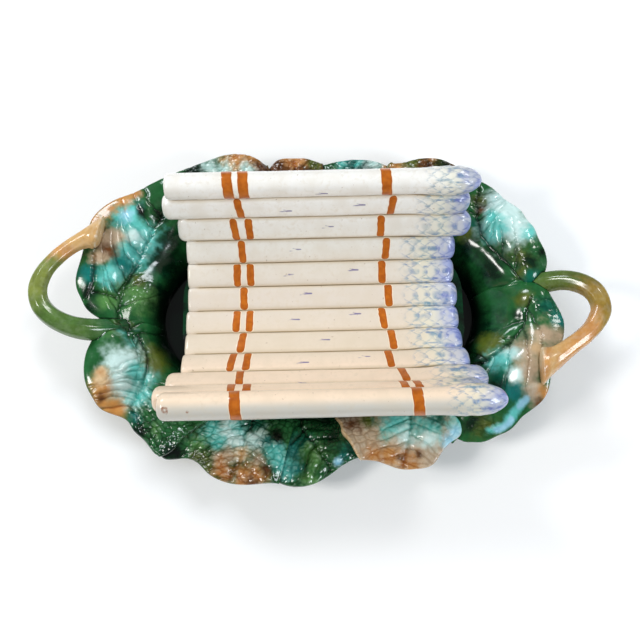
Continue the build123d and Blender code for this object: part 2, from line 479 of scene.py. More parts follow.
def paint(x, y, ground, daubs, seed):
    """Brushes daubs, each a glaze with its middle and radius in millimetres, over a ground glaze."""
    painted = np.tile(POTS[ground], (len(x), 1))
    for order, (glaze, middle_x, middle_y, radius) in enumerate(daubs):
        distance = np.hypot(x - middle_x, y - middle_y) / radius
        for size, strength, wave_seed in DAUB_WAVES:
            distance += strength * patches(x, y, size, seed + order + wave_seed)
        cover = 1 - ease(*DAUB_FADE, distance)
        painted += cover[:, None] * (POTS[glaze] - painted)
    return painted


def stroke(glaze, start, end, radius):
    """A brush stroke: daubs of one glaze set close together along a line."""
    steps = int(np.hypot(end[0] - start[0], end[1] - start[1]) / radius) + 2
    return [(glaze, x, y, radius) for x, y in np.linspace(start, end, steps)]


print("pots:", ", ".join(GLAZES))

# %% [markdown]
# ## The leaf finish
# On the real dish the glaze ran off every ridge and lay thick in every vein, which makes the network
# dark and the cells pale. The brushed colour, the vein depth and the height of the cells were kept on
# the points of each leaf, so the material only has to mix them, add the fine clouding of a melted
# glaze, and cover it with clear gloss. The pale crests also carry some painted sheen, and the pooled
# dark also carries painted shade beside the handles.

# %% Leaf glaze
POOL_DARK = colour(3, 20, 12)
CREST_PALE_AND_SHEEN = colour(232, 240, 230)
# Clouds in the glaze: scale, detail and seed of their noise, and its values at a cloud's edge and middle
BROAD_CLOUD = (110.0, 4.0, 1.0, 0.3, 0.7)
FINE_CLOUD = (600.0, 3.0, 2.0, 0.35, 0.7)
THIN_CLOUD = (260.0, 2.0, 3.0, 0.4, 0.7)
LEAF_RIPPLE = (300.0, 2.0, 4.0)
LEAF_RIPPLE_STRENGTH = 0.07
LEAF_RIPPLE_DEPTH = 0.0006
# How far each cloud goes towards its colour
POOL_TINT = 0.35
BROAD_SHARE = 0.35
FINE_SHARE = 0.14
CREST_LEAST = 0.08
CREST_SPREAD = 0.4
# Only glazes from this brightness on show pale crests
LIGHT_GLAZE = (0.03, 0.3)


def leaf_finish(name):
    """A brushed glaze, pale where it is thin on the crests, with painted sheen there too, and dark where it
    pooled and where painted shade lies by the handles.
    """
    material, surface, place = new_finish(name, roughness=0.4, gloss=1.0)
    brushed = place.attribute("brushed", "Color")
    pooled = place.attribute("pooled")
    # The pale crests are thin glaze, and in part painted sheen of light.
    pale = place.attribute("crest") * brushed.ease(*LIGHT_GLAZE)
    deep = brushed.mixed(brushed, 1.0, "MULTIPLY").mixed(POOL_DARK, POOL_TINT)
    fine_cloud = place.cloud(*FINE_CLOUD)
    clouded = (BROAD_SHARE * place.cloud(*BROAD_CLOUD)).mix(brushed, deep)
    lifted = (pale * (CREST_LEAST + CREST_SPREAD * place.cloud(*THIN_CLOUD))).mix(clouded, CREST_PALE_AND_SHEEN)
    mottled = (FINE_SHARE * fine_cloud).mix(lifted, deep)
    veined = (pooled * (1 - FINE_SHARE + FINE_SHARE * fine_cloud)).mix(mottled, deep)
    dress(surface, veined, place.noise(*LEAF_RIPPLE), LEAF_RIPPLE_STRENGTH, LEAF_RIPPLE_DEPTH)
    return material


leaf_glaze = leaf_finish("leaf_glaze")
print("leaf finish:", len(leaf_glaze.node_tree.nodes), "nodes")

# %% [markdown]
# ## The stem handles
# Each handle is a bent leaf stem: flared and ochre at its cut end, slender behind it, and thicker and
# green where it runs into the fold between two leaves. A curve with a bevel would give a plain pipe, so
# a grid is wrapped round the same centre line as in the CAD model instead, with soft ribs along the
# stem. The cut is made at a slant, and its rim is rounded. The two stems lie opposite each other but
# are bent a little differently.

# %% Handle shape
# Centre line and radius from the cut end to the fold, in millimetres
STEM_LINES = {
    "left_handle": [
        (-148, 55.5, 61, 9.4), (-151.5, 54, 61.5, 8.8), (-161, 49.5, 62, 6.4), (-171, 43, 64, 5.4),
        (-181, 34, 65, 5.5), (-189, 24, 65, 6), (-193, 12, 65, 6.5), (-191, 1, 64, 6.6),
        (-184, -7, 61, 6.7), (-173, -12.5, 57, 7.2), (-161, -14.5, 52, 7.8), (-149, -13, 45, 7.5),
        (-138, -10, 39, 5.5),
    ],
    "right_handle": [
        (149, -51, 61, 10.4), (152, -49, 61.5, 9.4), (160, -44, 62, 7), (170, -37, 64, 6),
        (180, -30, 65, 6), (188, -22, 65, 6.5), (193, -12, 65, 7), (191, -1, 64, 7.1), (184, 7, 61, 7),
        (173, 12, 56, 7), (161, 13, 48, 7.4), (149, 12, 36, 7), (138, 10, 30, 5.5),
    ],
}
STEM_AROUND = 72
STEM_ALONG = 300
CAP_ROWS = 14
RIM_ROUND = 2.2
RIM_POWER = 3
# Slope of the cut, how far it is set back as a share of the radius, and where the slant dies out
CUT_SLANT = 0.7
CUT_SETBACK = {"left_handle": 0.9, "right_handle": 0.3}
CUT_FADE = 26.0
STEM_RIBS = 7
RIB_HEIGHT = 0.16
RIB_SWAY = 2.0
RIB_SWAYS_ALONG = 40 / 9
RIB_SEED = 11
LUMP_HEIGHT = 0.35
LUMPS_ALONG = 15
LUMPS_ROUND = 2
LUMP_SEED = 12


def smooth_line(stations, count):
    """A smooth curve through given stations, a cubic between each two, read at even steps."""
    stations = np.asarray(stations, float)
    padded = np.vstack([2 * stations[0] - stations[1], stations, 2 * stations[-1] - stations[-2]])
    spot = np.linspace(0, len(stations) - 1, count)
    index = np.minimum(spot.astype(int), len(stations) - 2)
    t = (spot - index)[:, None]
    before, start, end, after = (padded[index + k] for k in range(4))
    return start + t / 2 * (
        end - before
        + t * (2 * before - 5 * start + 4 * end - after + t * (3 * start - before - 3 * end + after))
    )


def repeat_ends(rows):
    """The same rows with the first and last repeated for the caps of a stem."""
    return np.vstack([np.repeat(rows[:1], CAP_ROWS, 0), rows, np.repeat(rows[-1:], CAP_ROWS, 0)])


def shape_handle(name, stations, setback):
    """A stem wrapped round its centre line, with its shares across and along kept for the paint."""
    piece, across, along = new_grid(name, STEM_AROUND, STEM_ALONG)
    row = np.rint(along * STEM_ALONG).astype(int)
    body = smooth_line(stations, STEM_ALONG + 1 - 2 * CAP_ROWS)
    line = repeat_ends(body)
    heading = repeat_ends(np.gradient(body[:, :3], axis=0))
    heading /= np.linalg.norm(heading, axis=1, keepdims=True)
    upward = np.array([0, 0, 1.0]) - heading[:, 2:] * heading
    upward /= np.linalg.norm(upward, axis=1, keepdims=True)
    sideways = np.cross(heading, upward)
    cap = np.sin(np.linspace(0, pi / 2, CAP_ROWS, endpoint=False))
    swell = np.concatenate([cap, np.ones(len(body)), cap[::-1]])
    bulge = RIM_ROUND * (1 - swell**RIM_POWER) ** (1 / RIM_POWER)
    bulge[:CAP_ROWS] *= -1
    angle = 2 * pi * across
    sway = RIB_SWAY * patches(along * RIB_SWAYS_ALONG, across * 0, 1.0, RIB_SEED)
    ribs = RIB_HEIGHT * np.cos(STEM_RIBS * angle + sway)
    lumps = patches(along * LUMPS_ALONG, np.abs(across - 0.5) * LUMPS_ROUND, 1.0, LUMP_SEED) * LUMP_HEIGHT
    radius = (line[row, 3] + ribs + lumps) * swell[row]
    outward = upward[row] * np.cos(angle)[:, None] + sideways[row] * np.sin(angle)[:, None]
    steps = np.linalg.norm(np.diff(line[:, :3], axis=0), axis=1)
    walked = np.concatenate([[0], np.cumsum(steps)])[row]
    slant = CUT_SLANT * (setback * line[row, 3] - radius * np.sin(angle))
    forward = bulge[row] + slant * (1 - ease(0.0, CUT_FADE, walked))
    points = line[row, :3] + heading[row] * forward[:, None] + outward * radius[:, None]
    place_points(piece, points * MM)
    return piece, across, along


print("stations:", {name: len(stations) for name, stations in STEM_LINES.items()})

# %% [markdown]
# ## Painting the handles
# The decorator let the glazes run into one another along each stem: cream at the cut, then ochre, then
# green down to the fold. A colour ramp in the material would need to know how far along the bent stem a
# spot lies. The grid knows that, so each point gets its colour straight from its share of the length.

# %% Handle paint
# Glazes along each handle, as share of its length from the cut end
STEM_BANDS = {
    "left_handle": [
        (0.0, "cream"), (0.05, "straw"), (0.27, "straw"), (0.33, "ochre"), (0.385, "pear green"),
        (0.5, "pear green"), (0.62, "leaf green"), (0.74, "leaf green"), (0.86, "green"),
        (1.0, "deep green"),
    ],
    "right_handle": [
        (0.0, "cream"), (0.06, "ochre"), (0.16, "straw"), (0.3, "ochre"), (0.4, "ochre"), (0.47, "mustard"),
        (0.6, "mustard"), (0.7, "olive"), (0.8, "leaf green"), (0.9, "green"), (1.0, "deep green"),
    ],
}
# How far the outer side is ahead, and how far the bands wander
OUTER_LEAD = {"left_handle": 0.0, "right_handle": 0.06}
BAND_WANDER = 0.05
WANDERS_ALONG = 10
WANDERS_ROUND = 2
BAND_SEED = 21
STEM_CREST = 0.25
# The cut rim is pale from thin glaze, with a painted highlight on it.
RIM_CREST = 0.6
RIM_REACH = 0.02


def paint_stem(bands, lead, across, along):
    """Glazes that run into one another along a stem, with the next one ahead on its outer side."""
    wander = patches(along * WANDERS_ALONG, across * WANDERS_ROUND, 1.0, BAND_SEED)
    shift = along + BAND_WANDER * wander
    shift += lead * np.sin(2 * pi * across)
    places = [place for place, glaze in bands]
    shades = np.array([POTS[glaze] for place, glaze in bands])
    return np.column_stack([np.interp(shift, places, shades[:, part]) for part in range(3)])


handle_trees = []
for name, stations in STEM_LINES.items():
    piece, across, along = shape_handle(f"glazed_{name}", stations, CUT_SETBACK[name])
    rim = 1 - ease(0.0, RIM_REACH, np.abs(along - CAP_ROWS / STEM_ALONG))
    store(piece, "brushed", paint_stem(STEM_BANDS[name], OUTER_LEAD[name], across, along))
    store(piece, "pooled", np.zeros(len(along)))
    store(piece, "crest", STEM_CREST + RIM_CREST * rim)
    close_seams(piece)
    hand_over(piece, name, "platter", leaf_glaze)
    handle_trees.append(BVHTree.FromObject(piece, bpy.context.evaluated_depsgraph_get()))
    print(piece.name, len(piece.data.polygons), "faces")

# %% [markdown]
# ## Reading a leaf from the CAD model
# The CAD leaf has the right lip, height and thickness, but it is smooth. We drop a fine net of rays
# on it from above and below and keep where they land: for each heading from the middle of the dish,
# a section from the heel on the slab out to the lip. Even steps along the section keep the faces
# square on the steep inner wall.

# %% Rays onto a leaf
ABOVE = 0.3
BELOW = -0.1
EDGE_STEPS = 20
HEEL_START = 0.006
FAR_OUT = 0.25

well_low, well_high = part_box("well_floor")
WELL_HALF_LENGTH, WELL_HALF_WIDTH = (well_high.x - well_low.x) / 2, (well_high.y - well_low.y) / 2


def well_edge(heading):
    """Distance from the middle of the dish to the edge of its slab."""
    across = WELL_HALF_WIDTH * np.cos(heading)
    along = WELL_HALF_LENGTH * np.sin(heading)
    return WELL_HALF_LENGTH * WELL_HALF_WIDTH / np.hypot(across, along)


def landing(tree, heading, radius, upward=False):
    """Height where a ray dropped, or sent up, at this heading and radius meets the leaf, or nothing."""
    start = Vector((radius * cos(heading), radius * sin(heading), BELOW if upward else ABOVE))
    found = tree.ray_cast(start, Vector((0, 0, 1 if upward else -1)))[0]
    return np.nan if found is None else found.z


def lip_radius(tree, heading):
    """Halves the gap between a radius on the leaf and one beyond it until it has the lip."""
    inside = float(well_edge(heading)) + HEEL_START
    outside = FAR_OUT
    for _ in range(EDGE_STEPS):
        middle = (inside + outside) / 2
        if np.isnan(landing(tree, heading, middle)):
            outside = middle
        else:
            inside = middle
    return inside


print("slab:", round(WELL_HALF_LENGTH / MM), "by", round(WELL_HALF_WIDTH / MM), "mm from its middle")

# %% Leaf sections
LEAF_SPACING = 0.5 * MM
SECTION_STEPS = 64
EDGE_INSET = 0.00008
HEEL_RUN = 0.004
HEEL_SINK = 0.0005
HEEL_UNDERSIDE = 0.0015
SOFTEN_ROUNDS = 26


def fill_gaps(values):
    """Replaces missing landings by their neighbours'."""
    known = ~np.isnan(values)
    spots = np.arange(len(values))
    return np.interp(spots, spots[known], values[known])


def soften(values):
    """Evens out the flat facets of the CAD mesh by mixing each value with its neighbours."""
    for _ in range(SOFTEN_ROUNDS):
        values[1:-1] = (values[:-2] + 2 * values[1:-1] + values[2:]) / 4
        values[:, 1:-1] = (values[:, :-2] + 2 * values[:, 1:-1] + values[:, 2:]) / 4
    return values


def read_leaf(node):
    """Headings of a CAD leaf, and for each its sections: radius, top and underside from heel to lip."""
    spots = points_of(node)
    middle = atan2(spots[:, 1].mean(), spots[:, 0].mean())
    turn = np.angle(np.exp(1j * (np.arctan2(spots[:, 1], spots[:, 0]) - middle)))
    reach = np.hypot(spots[:, 0], spots[:, 1])
    inset = EDGE_INSET / reach.max()
    first, last = middle + turn.min() + inset, middle + turn.max() - inset
    columns = int((last - first) * reach.mean() / LEAF_SPACING)
    headings = np.linspace(first, last, columns + 1)
    tree = BVHTree.FromObject(node, bpy.context.evaluated_depsgraph_get())
    radii, tops, lows, lengths = [], [], [], []
    for heading in headings:
        lip = lip_radius(tree, heading)
        radius = np.linspace(well_edge(heading) + EDGE_INSET, lip, SECTION_STEPS)
        top = fill_gaps(np.array([landing(tree, heading, r) for r in radius]))
        low = fill_gaps(np.array([landing(tree, heading, r, upward=True) for r in radius]))
        radius = np.concatenate([[radius[0] - HEEL_RUN], radius])
        top = np.concatenate([[well_high.z - HEEL_SINK], top])
        low = np.concatenate([[well_high.z - HEEL_UNDERSIDE], low])
        length = np.concatenate([[0], np.cumsum(np.hypot(np.diff(radius), np.diff(top)))])
        radii.append(radius)
        tops.append(top)
        lows.append(low)
        lengths.append(length)
    rows = int(np.mean([length[-1] for length in lengths]) / LEAF_SPACING)
    share = np.linspace(0, 1, rows + 1)
    even = [share * length[-1] for length in lengths]
    radius, top, low = (
        soften(np.array([np.interp(*read) for read in zip(even, lengths, values)]))
        for values in (radii, tops, lows)
    )
    length = np.array([length[-1] for length in lengths])
    return headings, radius, top, low, length


print("a leaf's points are about", LEAF_SPACING / MM, "mm apart")

# %% [markdown]
# ## What each leaf is like
# This is the decorator's sheet. Places are on plan from the middle of the dish, in millimetres.
#
# - `midrib` is the line of the midrib from its root, and `creases` are more lines pressed in like it.
#   `fold` says how deep the leaf is folded there, `rail` how high the lines beside the midrib stand,
#   and `rib_dark` how dark it is.
# - `vein_step`, `vein_reach` and `vein_width` are the spacing, length and width of the side veins.
# - `cells` and `cell_size` are the strength and size of the cell network. Where `pebbles` are given, it
#   shows only in those spots. `smooth` spots have neither veins nor cells.
# - `lumps` are thick spots where a leaf closes over the end of a stem, and `lobes` push the lip out or
#   in. Both have a place, a width, and a height or reach.
# - `first` and `last` are the edges met first and last on the way round, anticlockwise. An edge lies
#   over its neighbour, under it or flush with it, and runs past the joint by so much at the heel and at
#   the lip. A fourth value rounds off its corner at the lip.
# - `ground` is the glaze under all others. Each of the `daubs` on it is a glaze, a place and a radius.
#   `ribbon` is the glaze of a thin band along the first edge.

# %% Leaf sheet
# Daubs of black are painted shade in holes, folds and dark corners.
LEAVES = {
    "leaf_right_upper": {
        "midrib": [(150, 10), (142, 22), (132, 34), (124, 43), (119, 52), (116, 66), (117, 78), (120, 90)],
        "fold": 0.4, "vein_step": 11, "vein_reach": 42, "cells": 0.6, "cell_size": 4.2,
        "pebbles": [(150, 34, 12), (118, 76, 6)], "lumps": [(148, 16, 11, 6)],
        "rail": 0.1, "smooth": [(112, 40, 16), (124, 28, 13), (108, 56, 11), (133, 20, 9)],
        "lobes": [(143, 64, 9, 4), (150, 50, 8, 3.5)],
        "first": ("under", 2, 3), "last": ("over", 3, 3),
        "ground": "green",
        "daubs": [
            ("deep green", 110, 46, 14), ("deep green", 127, 28, 12), ("emerald", 112, 58, 7),
            ("olive", 110, 54, 6), ("aqua", 139, 60, 17), ("aqua", 133, 74, 12), ("aqua", 143, 49, 9),
            ("turquoise", 128, 52, 8), ("turquoise", 150, 47, 6), ("turquoise", 127, 62, 5),
            ("green", 124, 88, 6), ("olive", 120, 77, 6), ("brown", 119, 70, 3.5),
            ("olive", 147, 33, 8), ("green", 154, 36, 6), ("black", 159, 33, 4), ("green", 140, 24, 6),
            ("deep green", 150, 28, 5), ("olive", 146, 21, 5), ("emerald", 152, 17, 7),
        ],
    },
    "leaf_back_right": {
        "midrib": [(62, 62), (74, 84), (86, 112)],
        "fold": 1.2, "vein_step": 8, "vein_reach": 26, "cells": 0.9, "cell_size": 4.2,
        "first": ("under", 2, 3), "last": ("over", 3, 3),
        "ground": "olive",
        "daubs": [
            ("deep green", 66, 76, 16), ("olive", 80, 102, 12), ("ochre", 62, 107, 7),
            ("olive", 74, 110, 8), ("brown", 85, 108, 9), ("ochre", 88, 115, 5),
            ("deep green", 98, 106, 8), ("brown", 104, 110, 6),
        ],
    },
    "leaf_back_mid_right": {
        "midrib": [(22, 74), (28, 94), (30, 116)],
        "fold": 1.2, "vein_step": 8, "vein_reach": 26, "cells": 0.9, "cell_size": 4.4,
        "first": ("under", 2, 3), "last": ("under", 2, 3),
        "ground": "emerald",
        "daubs": [
            ("deep green", 26, 84, 18), ("teal", 26, 110, 9), ("deep green", 37, 109, 7),
            ("turquoise", 32, 112, 5), ("aqua", 45, 111, 7), ("green", 10, 108, 10),
            ("ochre", 54, 108, 5), ("turquoise", 20, 112, 5),
        ],
    },
    "leaf_back_mid_left": {
        "midrib": [(-8, 74), (-14, 94), (-16, 116)],
        "fold": 1.2, "vein_step": 8, "vein_reach": 24, "cells": 0.8, "cell_size": 4.4,
        "first": ("over", 3, 3), "last": ("flush", 1, 1), "lobes": [(-37, 114, 7, -4)],
        "ground": "brown",
        "daubs": [
            ("deep green", -12, 84, 18), ("ochre", -15, 111, 10), ("brown", -28, 109, 8),
            ("brown", -9, 107, 6), ("ochre", -13, 115, 7), ("olive", 0, 111, 7),
        ],
    },
    "leaf_back_left": {
        "midrib": [(-46, 66), (-62, 92), (-76, 116)],
        "fold": 1.2, "vein_step": 8, "vein_reach": 30, "cells": 0.9, "cell_size": 4.4,
        "first": ("flush", 1, 1), "last": ("under", 2, 3), "lobes": [(-37, 114, 7, -4)],
        "ground": "green",
        "daubs": [
            ("deep green", -62, 84, 18), ("brown", -39, 108, 8), ("cream", -62, 112, 10),
            ("ochre", -56, 118, 11), ("aqua", -70, 106, 8), ("aqua", -50, 106, 8),
            ("ochre", -46, 116, 7), ("aqua", -80, 112, 7), ("deep green", -92, 108, 8),
            ("green", -104, 101, 9), ("brown", -41, 112, 6),
        ],
    },
    "leaf_left_upper": {
        "midrib": [(-142, -8), (-140, 9), (-138, 19), (-132, 31), (-126, 45), (-119, 61), (-111, 74)],
        "creases": [
            [(-159, 40), (-157, 28), (-158, 19), (-161, 10)], [(-156, 12), (-149, 11), (-143, 10)],
            [(-141, 16), (-136, 22), (-133, 28), (-129, 35)],
        ],
        "fold": 0.4, "vein_step": 11, "vein_reach": 44, "cells": 0.4, "cell_size": 4.4,
        "pebbles": [(-130, 15, 12)], "lumps": [(-147, -1, 9, 2)], "lobes": [(-157, 2, 9, 4.5)],
        "rail": 0.4, "rib_dark": 0.6, "smooth": [(-108, 43, 16), (-118, 34, 12), (-106, 58, 12)],
        "first": ("over", 3, 3), "last": ("under", 2, 3),
        "ground": "green",
        "daubs": [
            ("emerald", -124, 42, 16), ("deep green", -112, 44, 12), ("deep green", -119, 17, 12),
            ("turquoise", -127, 60, 13), ("turquoise", -134, 41, 12), ("teal", -139, 32, 8),
            ("turquoise", -136, 69, 12), ("sky", -137, 70, 6), ("aqua", -132, 56, 6),
            ("green", -119, 73, 9), ("green", -114, 88, 9), ("deep green", -108, 59, 9),
            ("deep green", -112, 71, 6), ("deep green", -113, 40, 8), ("black", -127, 73, 4.5),
            ("tan", -150, 50, 11), ("tan", -144, 54, 6), ("brown", -150, 41, 7), ("tan", -155, 37, 6),
            ("ochre", -160, 66, 10), ("ochre", -150, 77, 8), ("ochre", -141, 83, 7),
            ("ochre", -132, 87, 5), ("turquoise", -148, 24, 8), ("teal", -162, 25, 7),
            ("deep green", -160, 13, 6), ("deep green", -157, 2, 7), ("light green", -148, 8, 6),
            ("light green", -130, 14, 11), ("olive", -131, 24, 5),
        ],
    },
    "leaf_left_lower": {
        "midrib": [
            (-142, -7), (-135, -11), (-129, -16), (-123, -27), (-121, -38), (-122, -49), (-127, -62),
            (-133, -74),
        ],
        "fold": 0.4, "vein_step": 7, "vein_reach": 40, "cells": 1.0, "cell_size": 4.6,
        "pebbles": [(-114, -82, 20), (-99, -84, 14)], "lumps": [(-146, -20, 11, 4)],
        "smooth": [(-115, -40, 10), (-114, -26, 12)],
        "lobes": [
            (-148, -68, 8, 2.5), (-132, -76, 8, -4.5), (-120, -88, 8, -3), (-110, -98, 6, 2.5),
            (-160, -42, 12, -1.7),
        ],
        "first": ("over", 5, 5), "last": ("over", 3, 5, 4),
        "ground": "green",
        "daubs": [
            ("light green", -146, -15, 9), ("olive", -139, -13, 6), ("turquoise", -135, -19, 7),
            ("aqua", -136, -38, 14), ("aqua", -137, -52, 13), ("aqua", -130, -58, 9),
            ("turquoise", -126, -43, 8), ("turquoise", -121, -45, 8), ("turquoise", -125, -62, 8),
            ("green", -143, -22, 9), ("green", -134, -17, 6), ("cream", -150, -46, 6),
            ("ochre", -150, -55, 9), ("ochre", -145, -66, 9), ("ochre", -140, -71, 6),
            ("brown", -148, -62, 4), ("green", -160, -42, 4), ("green", -155, -24, 7),
            ("olive", -117, -28, 9), ("olive", -116, -39, 8), ("deep green", -111, -18, 9),
            ("green", -117, -77, 9), ("light green", -113, -84, 5), ("green", -106, -88, 8),
            ("teal", -129, -77, 6), ("deep green", -127, -85, 5), ("deep green", -104, -99, 7),
            ("black", -99, -99, 4), ("cream", -149, -52, 5),
        ],
    },
    "leaf_front_left": {
        "midrib": [(-46, -72), (-51, -84), (-55, -100), (-63, -117)],
        "fold": 0.8, "vein_step": 9, "vein_reach": 34, "cells": 1.0, "cell_size": 4.8,
        "lobes": [(-104, -101, 7, 5), (-87, -106, 9, -2.5)],
        "first": ("under", 3, 4), "last": ("flush", 1, 1),
        "ground": "green",
        "daubs": [
            ("green", -90, -88, 9), ("deep green", -103, -97, 6), ("black", -98, -99, 4),
            ("light green", -86, -94, 7), ("olive", -86, -103, 6), ("turquoise", -75, -84, 10),
            ("aqua", -64, -82, 8), ("turquoise", -56, -84, 9), ("aqua", -46, -91, 9),
            ("emerald", -47, -79, 7), ("aqua", -64, -91, 7), ("turquoise", -70, -93, 5),
            ("aqua", -56, -94, 7), ("tan", -62, -103, 7), ("tan", -70, -104, 6), ("tan", -44, -106, 8),
            ("cream", -54, -102, 5), ("ochre", -68, -112, 9), ("ochre", -54, -117, 9),
            ("ochre", -45, -117, 7), ("olive", -79, -107, 6), ("brown", -47, -121, 5),
            ("brown", -37, -113, 4), ("turquoise", -32, -100, 8), ("turquoise", -26, -111, 7),
            ("teal", -38, -93, 5), ("black", -31, -89, 5.5),
        ],
    },
    "leaf_front_mid": {
        "midrib": [(-16, -70), (-12, -83), (-4, -95), (4, -106), (8, -114)],
        "creases": [
            [(-4, -95), (-8, -102), (-11, -110), (-12, -117)], [(-12, -83), (-17, -90), (-21, -95)],
        ],
        "fold": 1.0, "vein_step": 11, "vein_reach": 28, "cells": 0.8, "cell_size": 3.6, "vein_width": 1.15,
        "first": ("flush", 1, 1), "last": ("under", 3, 6),
        "ground": "green",
        "daubs": [
            ("emerald", -14, -92, 9), ("teal", -22, -100, 8), ("turquoise", -25, -112, 7),
            ("teal", -17, -113, 6), ("light green", -5, -101, 8), ("light green", -4, -108, 6),
            ("light green", -8, -120, 6), ("deep green", 4, -80, 9), ("deep green", 8, -92, 7),
            ("emerald", 19, -100, 6), ("teal", 14, -104, 4), ("sky", 12, -108, 3),
        ],
    },
    "leaf_front_right": {
        "midrib": [(62, -70), (62, -86), (58, -102), (56, -116)],
        "fold": 0.8, "vein_step": 10, "vein_reach": 30, "cells": 0.55, "cell_size": 6.0,
        "first": ("over", 12, -3), "last": ("over", 12, 11, 9), "ribbon": "cream",
        "lobes": [(73, -109, 9, 3), (42, -109, 8, -2)],
        "ground": "tan",
        "daubs": [
            ("brown", 22, -84, 8), ("tan", 27, -94, 9), ("olive", 34, -80, 7), ("ochre", 37, -104, 7),
            ("tan", 42, -92, 9), ("turquoise", 52, -85, 11), ("turquoise", 64, -83, 11),
            ("aqua", 58, -93, 8), ("turquoise", 76, -86, 9), ("tan", 51, -99, 7),
            ("ochre", 48, -106, 7), ("ochre", 61, -110, 10), ("brown", 54, -107, 3.5),
            ("brown", 66, -104, 3), ("aqua", 74, -96, 7), ("tan", 73, -105, 7),
            ("emerald", 82, -80, 7), ("turquoise", 96, -80, 9), ("sky", 87, -97, 6),
            ("sky", 93, -89, 5),
        ],
    },
    "leaf_right_lower": {
        "midrib": [(150, 1), (147, -8), (144, -16), (137, -26), (126, -36), (115, -41), (106, -42)],
        "fold": 0.4, "vein_step": 12, "vein_reach": 44, "cells": 0.6, "cell_size": 4.4,
        "pebbles": [(160, -6, 9), (112, -86, 10)], "lumps": [(150, 2, 11, 4)],
        "rail": 0.5, "smooth": [(118, -14, 14), (120, -28, 9)],
        "lobes": [(165, -22, 10, 3), (163, -33, 9, 4), (125, -84, 11, 5.5), (108, -94, 7, -4.5)],
        "first": ("under", 4, 5), "last": ("over", 3, 3),
        "ground": "green",
        "daubs": [
            ("deep green", 117, -12, 12), ("deep green", 113, -36, 8), ("olive", 122, -27, 7),
            ("olive", 119, -35, 5), ("green", 138, 3, 9), ("olive", 146, 1, 6),
            ("emerald", 161, -6, 7), ("teal", 166, -16, 5), ("deep green", 141, -10, 5),
            ("tan", 154, -26, 10), ("tan", 144, -38, 10), ("tan", 142, -51, 9), ("cream", 148, -36, 5),
            ("tan", 146, -64, 8), ("aqua", 133, -38, 6), ("turquoise", 126, -43, 8),
            ("aqua", 134, -53, 6), ("emerald", 125, -55, 8), ("deep green", 120, -60, 7),
            ("teal", 133, -66, 7), ("ochre", 153, -66, 6), ("brown", 150, -73, 5),
            ("olive", 112, -86, 9), ("deep green", 104, -83, 6), ("green", 116, -91, 5),
            # The turquoise stroke is glaze. The sky strokes on it are painted highlight along the ridge.
            *stroke("turquoise", (116, -88), (140, -70), 2.6),
            *stroke("sky", (119, -87), (128, -80), 1.9), *stroke("sky", (135, -74), (141, -69), 2.2),
        ],
    },
}
print("leaves:", len(LEAVES), "daubs:", sum(len(sheet["daubs"]) for sheet in LEAVES.values()))

# %% [markdown]
# ## Pressing the veins
# A midrib is a line through points chosen on plan, carried over to the leaf's own flat map: distance
# round and distance up from the heel. Side veins leave it left and right by turns and lean towards
# its tip. The relief adds up in millimetres: soft swelling between the veins, pillows inside the
# cells, and grooves along every vein.

# %% Vein lines
VEIN_LEAN = radians(58)
VEIN_BEND = radians(26)
VEIN_RUNS = 7
FIRST_VEIN = 0.6


def on_map(plan, headings, radius, length, middle, mean_radius):
    """Points on plan as distance round and distance up from the heel, in millimetres."""
    found = []
    share = np.linspace(0, 1, radius.shape[1])
    for x, y in plan:
        turn = np.angle(np.exp(1j * (atan2(y, x) - middle)))
        column = int(np.argmin(np.abs(headings - middle - turn)))
        up = np.interp(np.hypot(x, y) * MM, radius[column], share) * length[column]
        found.append((turn * mean_radius / MM, up / MM))
    return np.array(found)


def side_veins(midrib, step, reach):
    """Veins that leave a midrib by turns to both sides, lean forward and straighten as they go."""
    runs = np.hypot(*np.diff(midrib, axis=0).T)
    walked = np.concatenate([[0], np.cumsum(runs)])
    veins = []
    for order, start in enumerate(np.arange(step * FIRST_VEIN, walked[-1], step / 2)):
        place, ahead, behind = (
            np.array([np.interp(start + shift, walked, midrib[:, part]) for part in (0, 1)])
            for shift in (0, step / 2, -step / 2)
        )
        bearing = atan2(*(ahead - behind)[::-1])
        side = 1 if order % 2 else -1
        line = [place]
        for run in range(VEIN_RUNS):
            angle = bearing + side * (VEIN_LEAN - VEIN_BEND * run / VEIN_RUNS)
            line.append(line[-1] + reach / VEIN_RUNS * np.array([cos(angle), sin(angle)]))
        veins.append(np.array(line))
    return veins


TRIAL_RIB = np.array([(0.0, 0.0), (0.0, 60.0)])
print("side veins on a midrib of 60 mm:", len(side_veins(TRIAL_RIB, step=10, reach=30)))

# %% [markdown]
# ## The pattern of a leaf
# A cabbage leaf has a midrib, side veins, and a net of small cells between them. A picture could carry
# such a pattern, but nothing would stand up in side light. So every point of the grid is told how near
# it is to each kind of line, a little bent as by an unsteady hand, and the relief comes from that.

# %% Leaf pattern
# Size and strength of the waves in lines drawn by hand
SWAYS = [(7.0, 1.1), (3.0, 0.4)]
VEIN_WIDTH = 0.7
# A vein's width at its root as a share, how much of that it loses, and how much of its depth
VEIN_ROOT = 1.1
VEIN_TAPER = 0.5
VEIN_FADE = 0.55
VEIN_RISE = 4.0
CREASE_WIDTH = 1.5
# A second network of smaller cells lies inside the first
SMALL_CELL = 0.6
SMALL_CELL_LAG = 0.5
CELL_EVEN = 0.85
CELL_WAVES = [(14.0, 0.3)]
SPOT_FADE = (0.6, 1.3)
SMOOTH_RISE = 9.0


def in_spots(x, y, spots):
    """1 in the middle of some round spots, each with its place and radius, fading to 0 outside."""
    near = [np.hypot(x - spot_x, y - spot_y) / radius for spot_x, spot_y, radius in spots]
    return np.max([1 - ease(*SPOT_FADE, distance) for distance in near], axis=0)


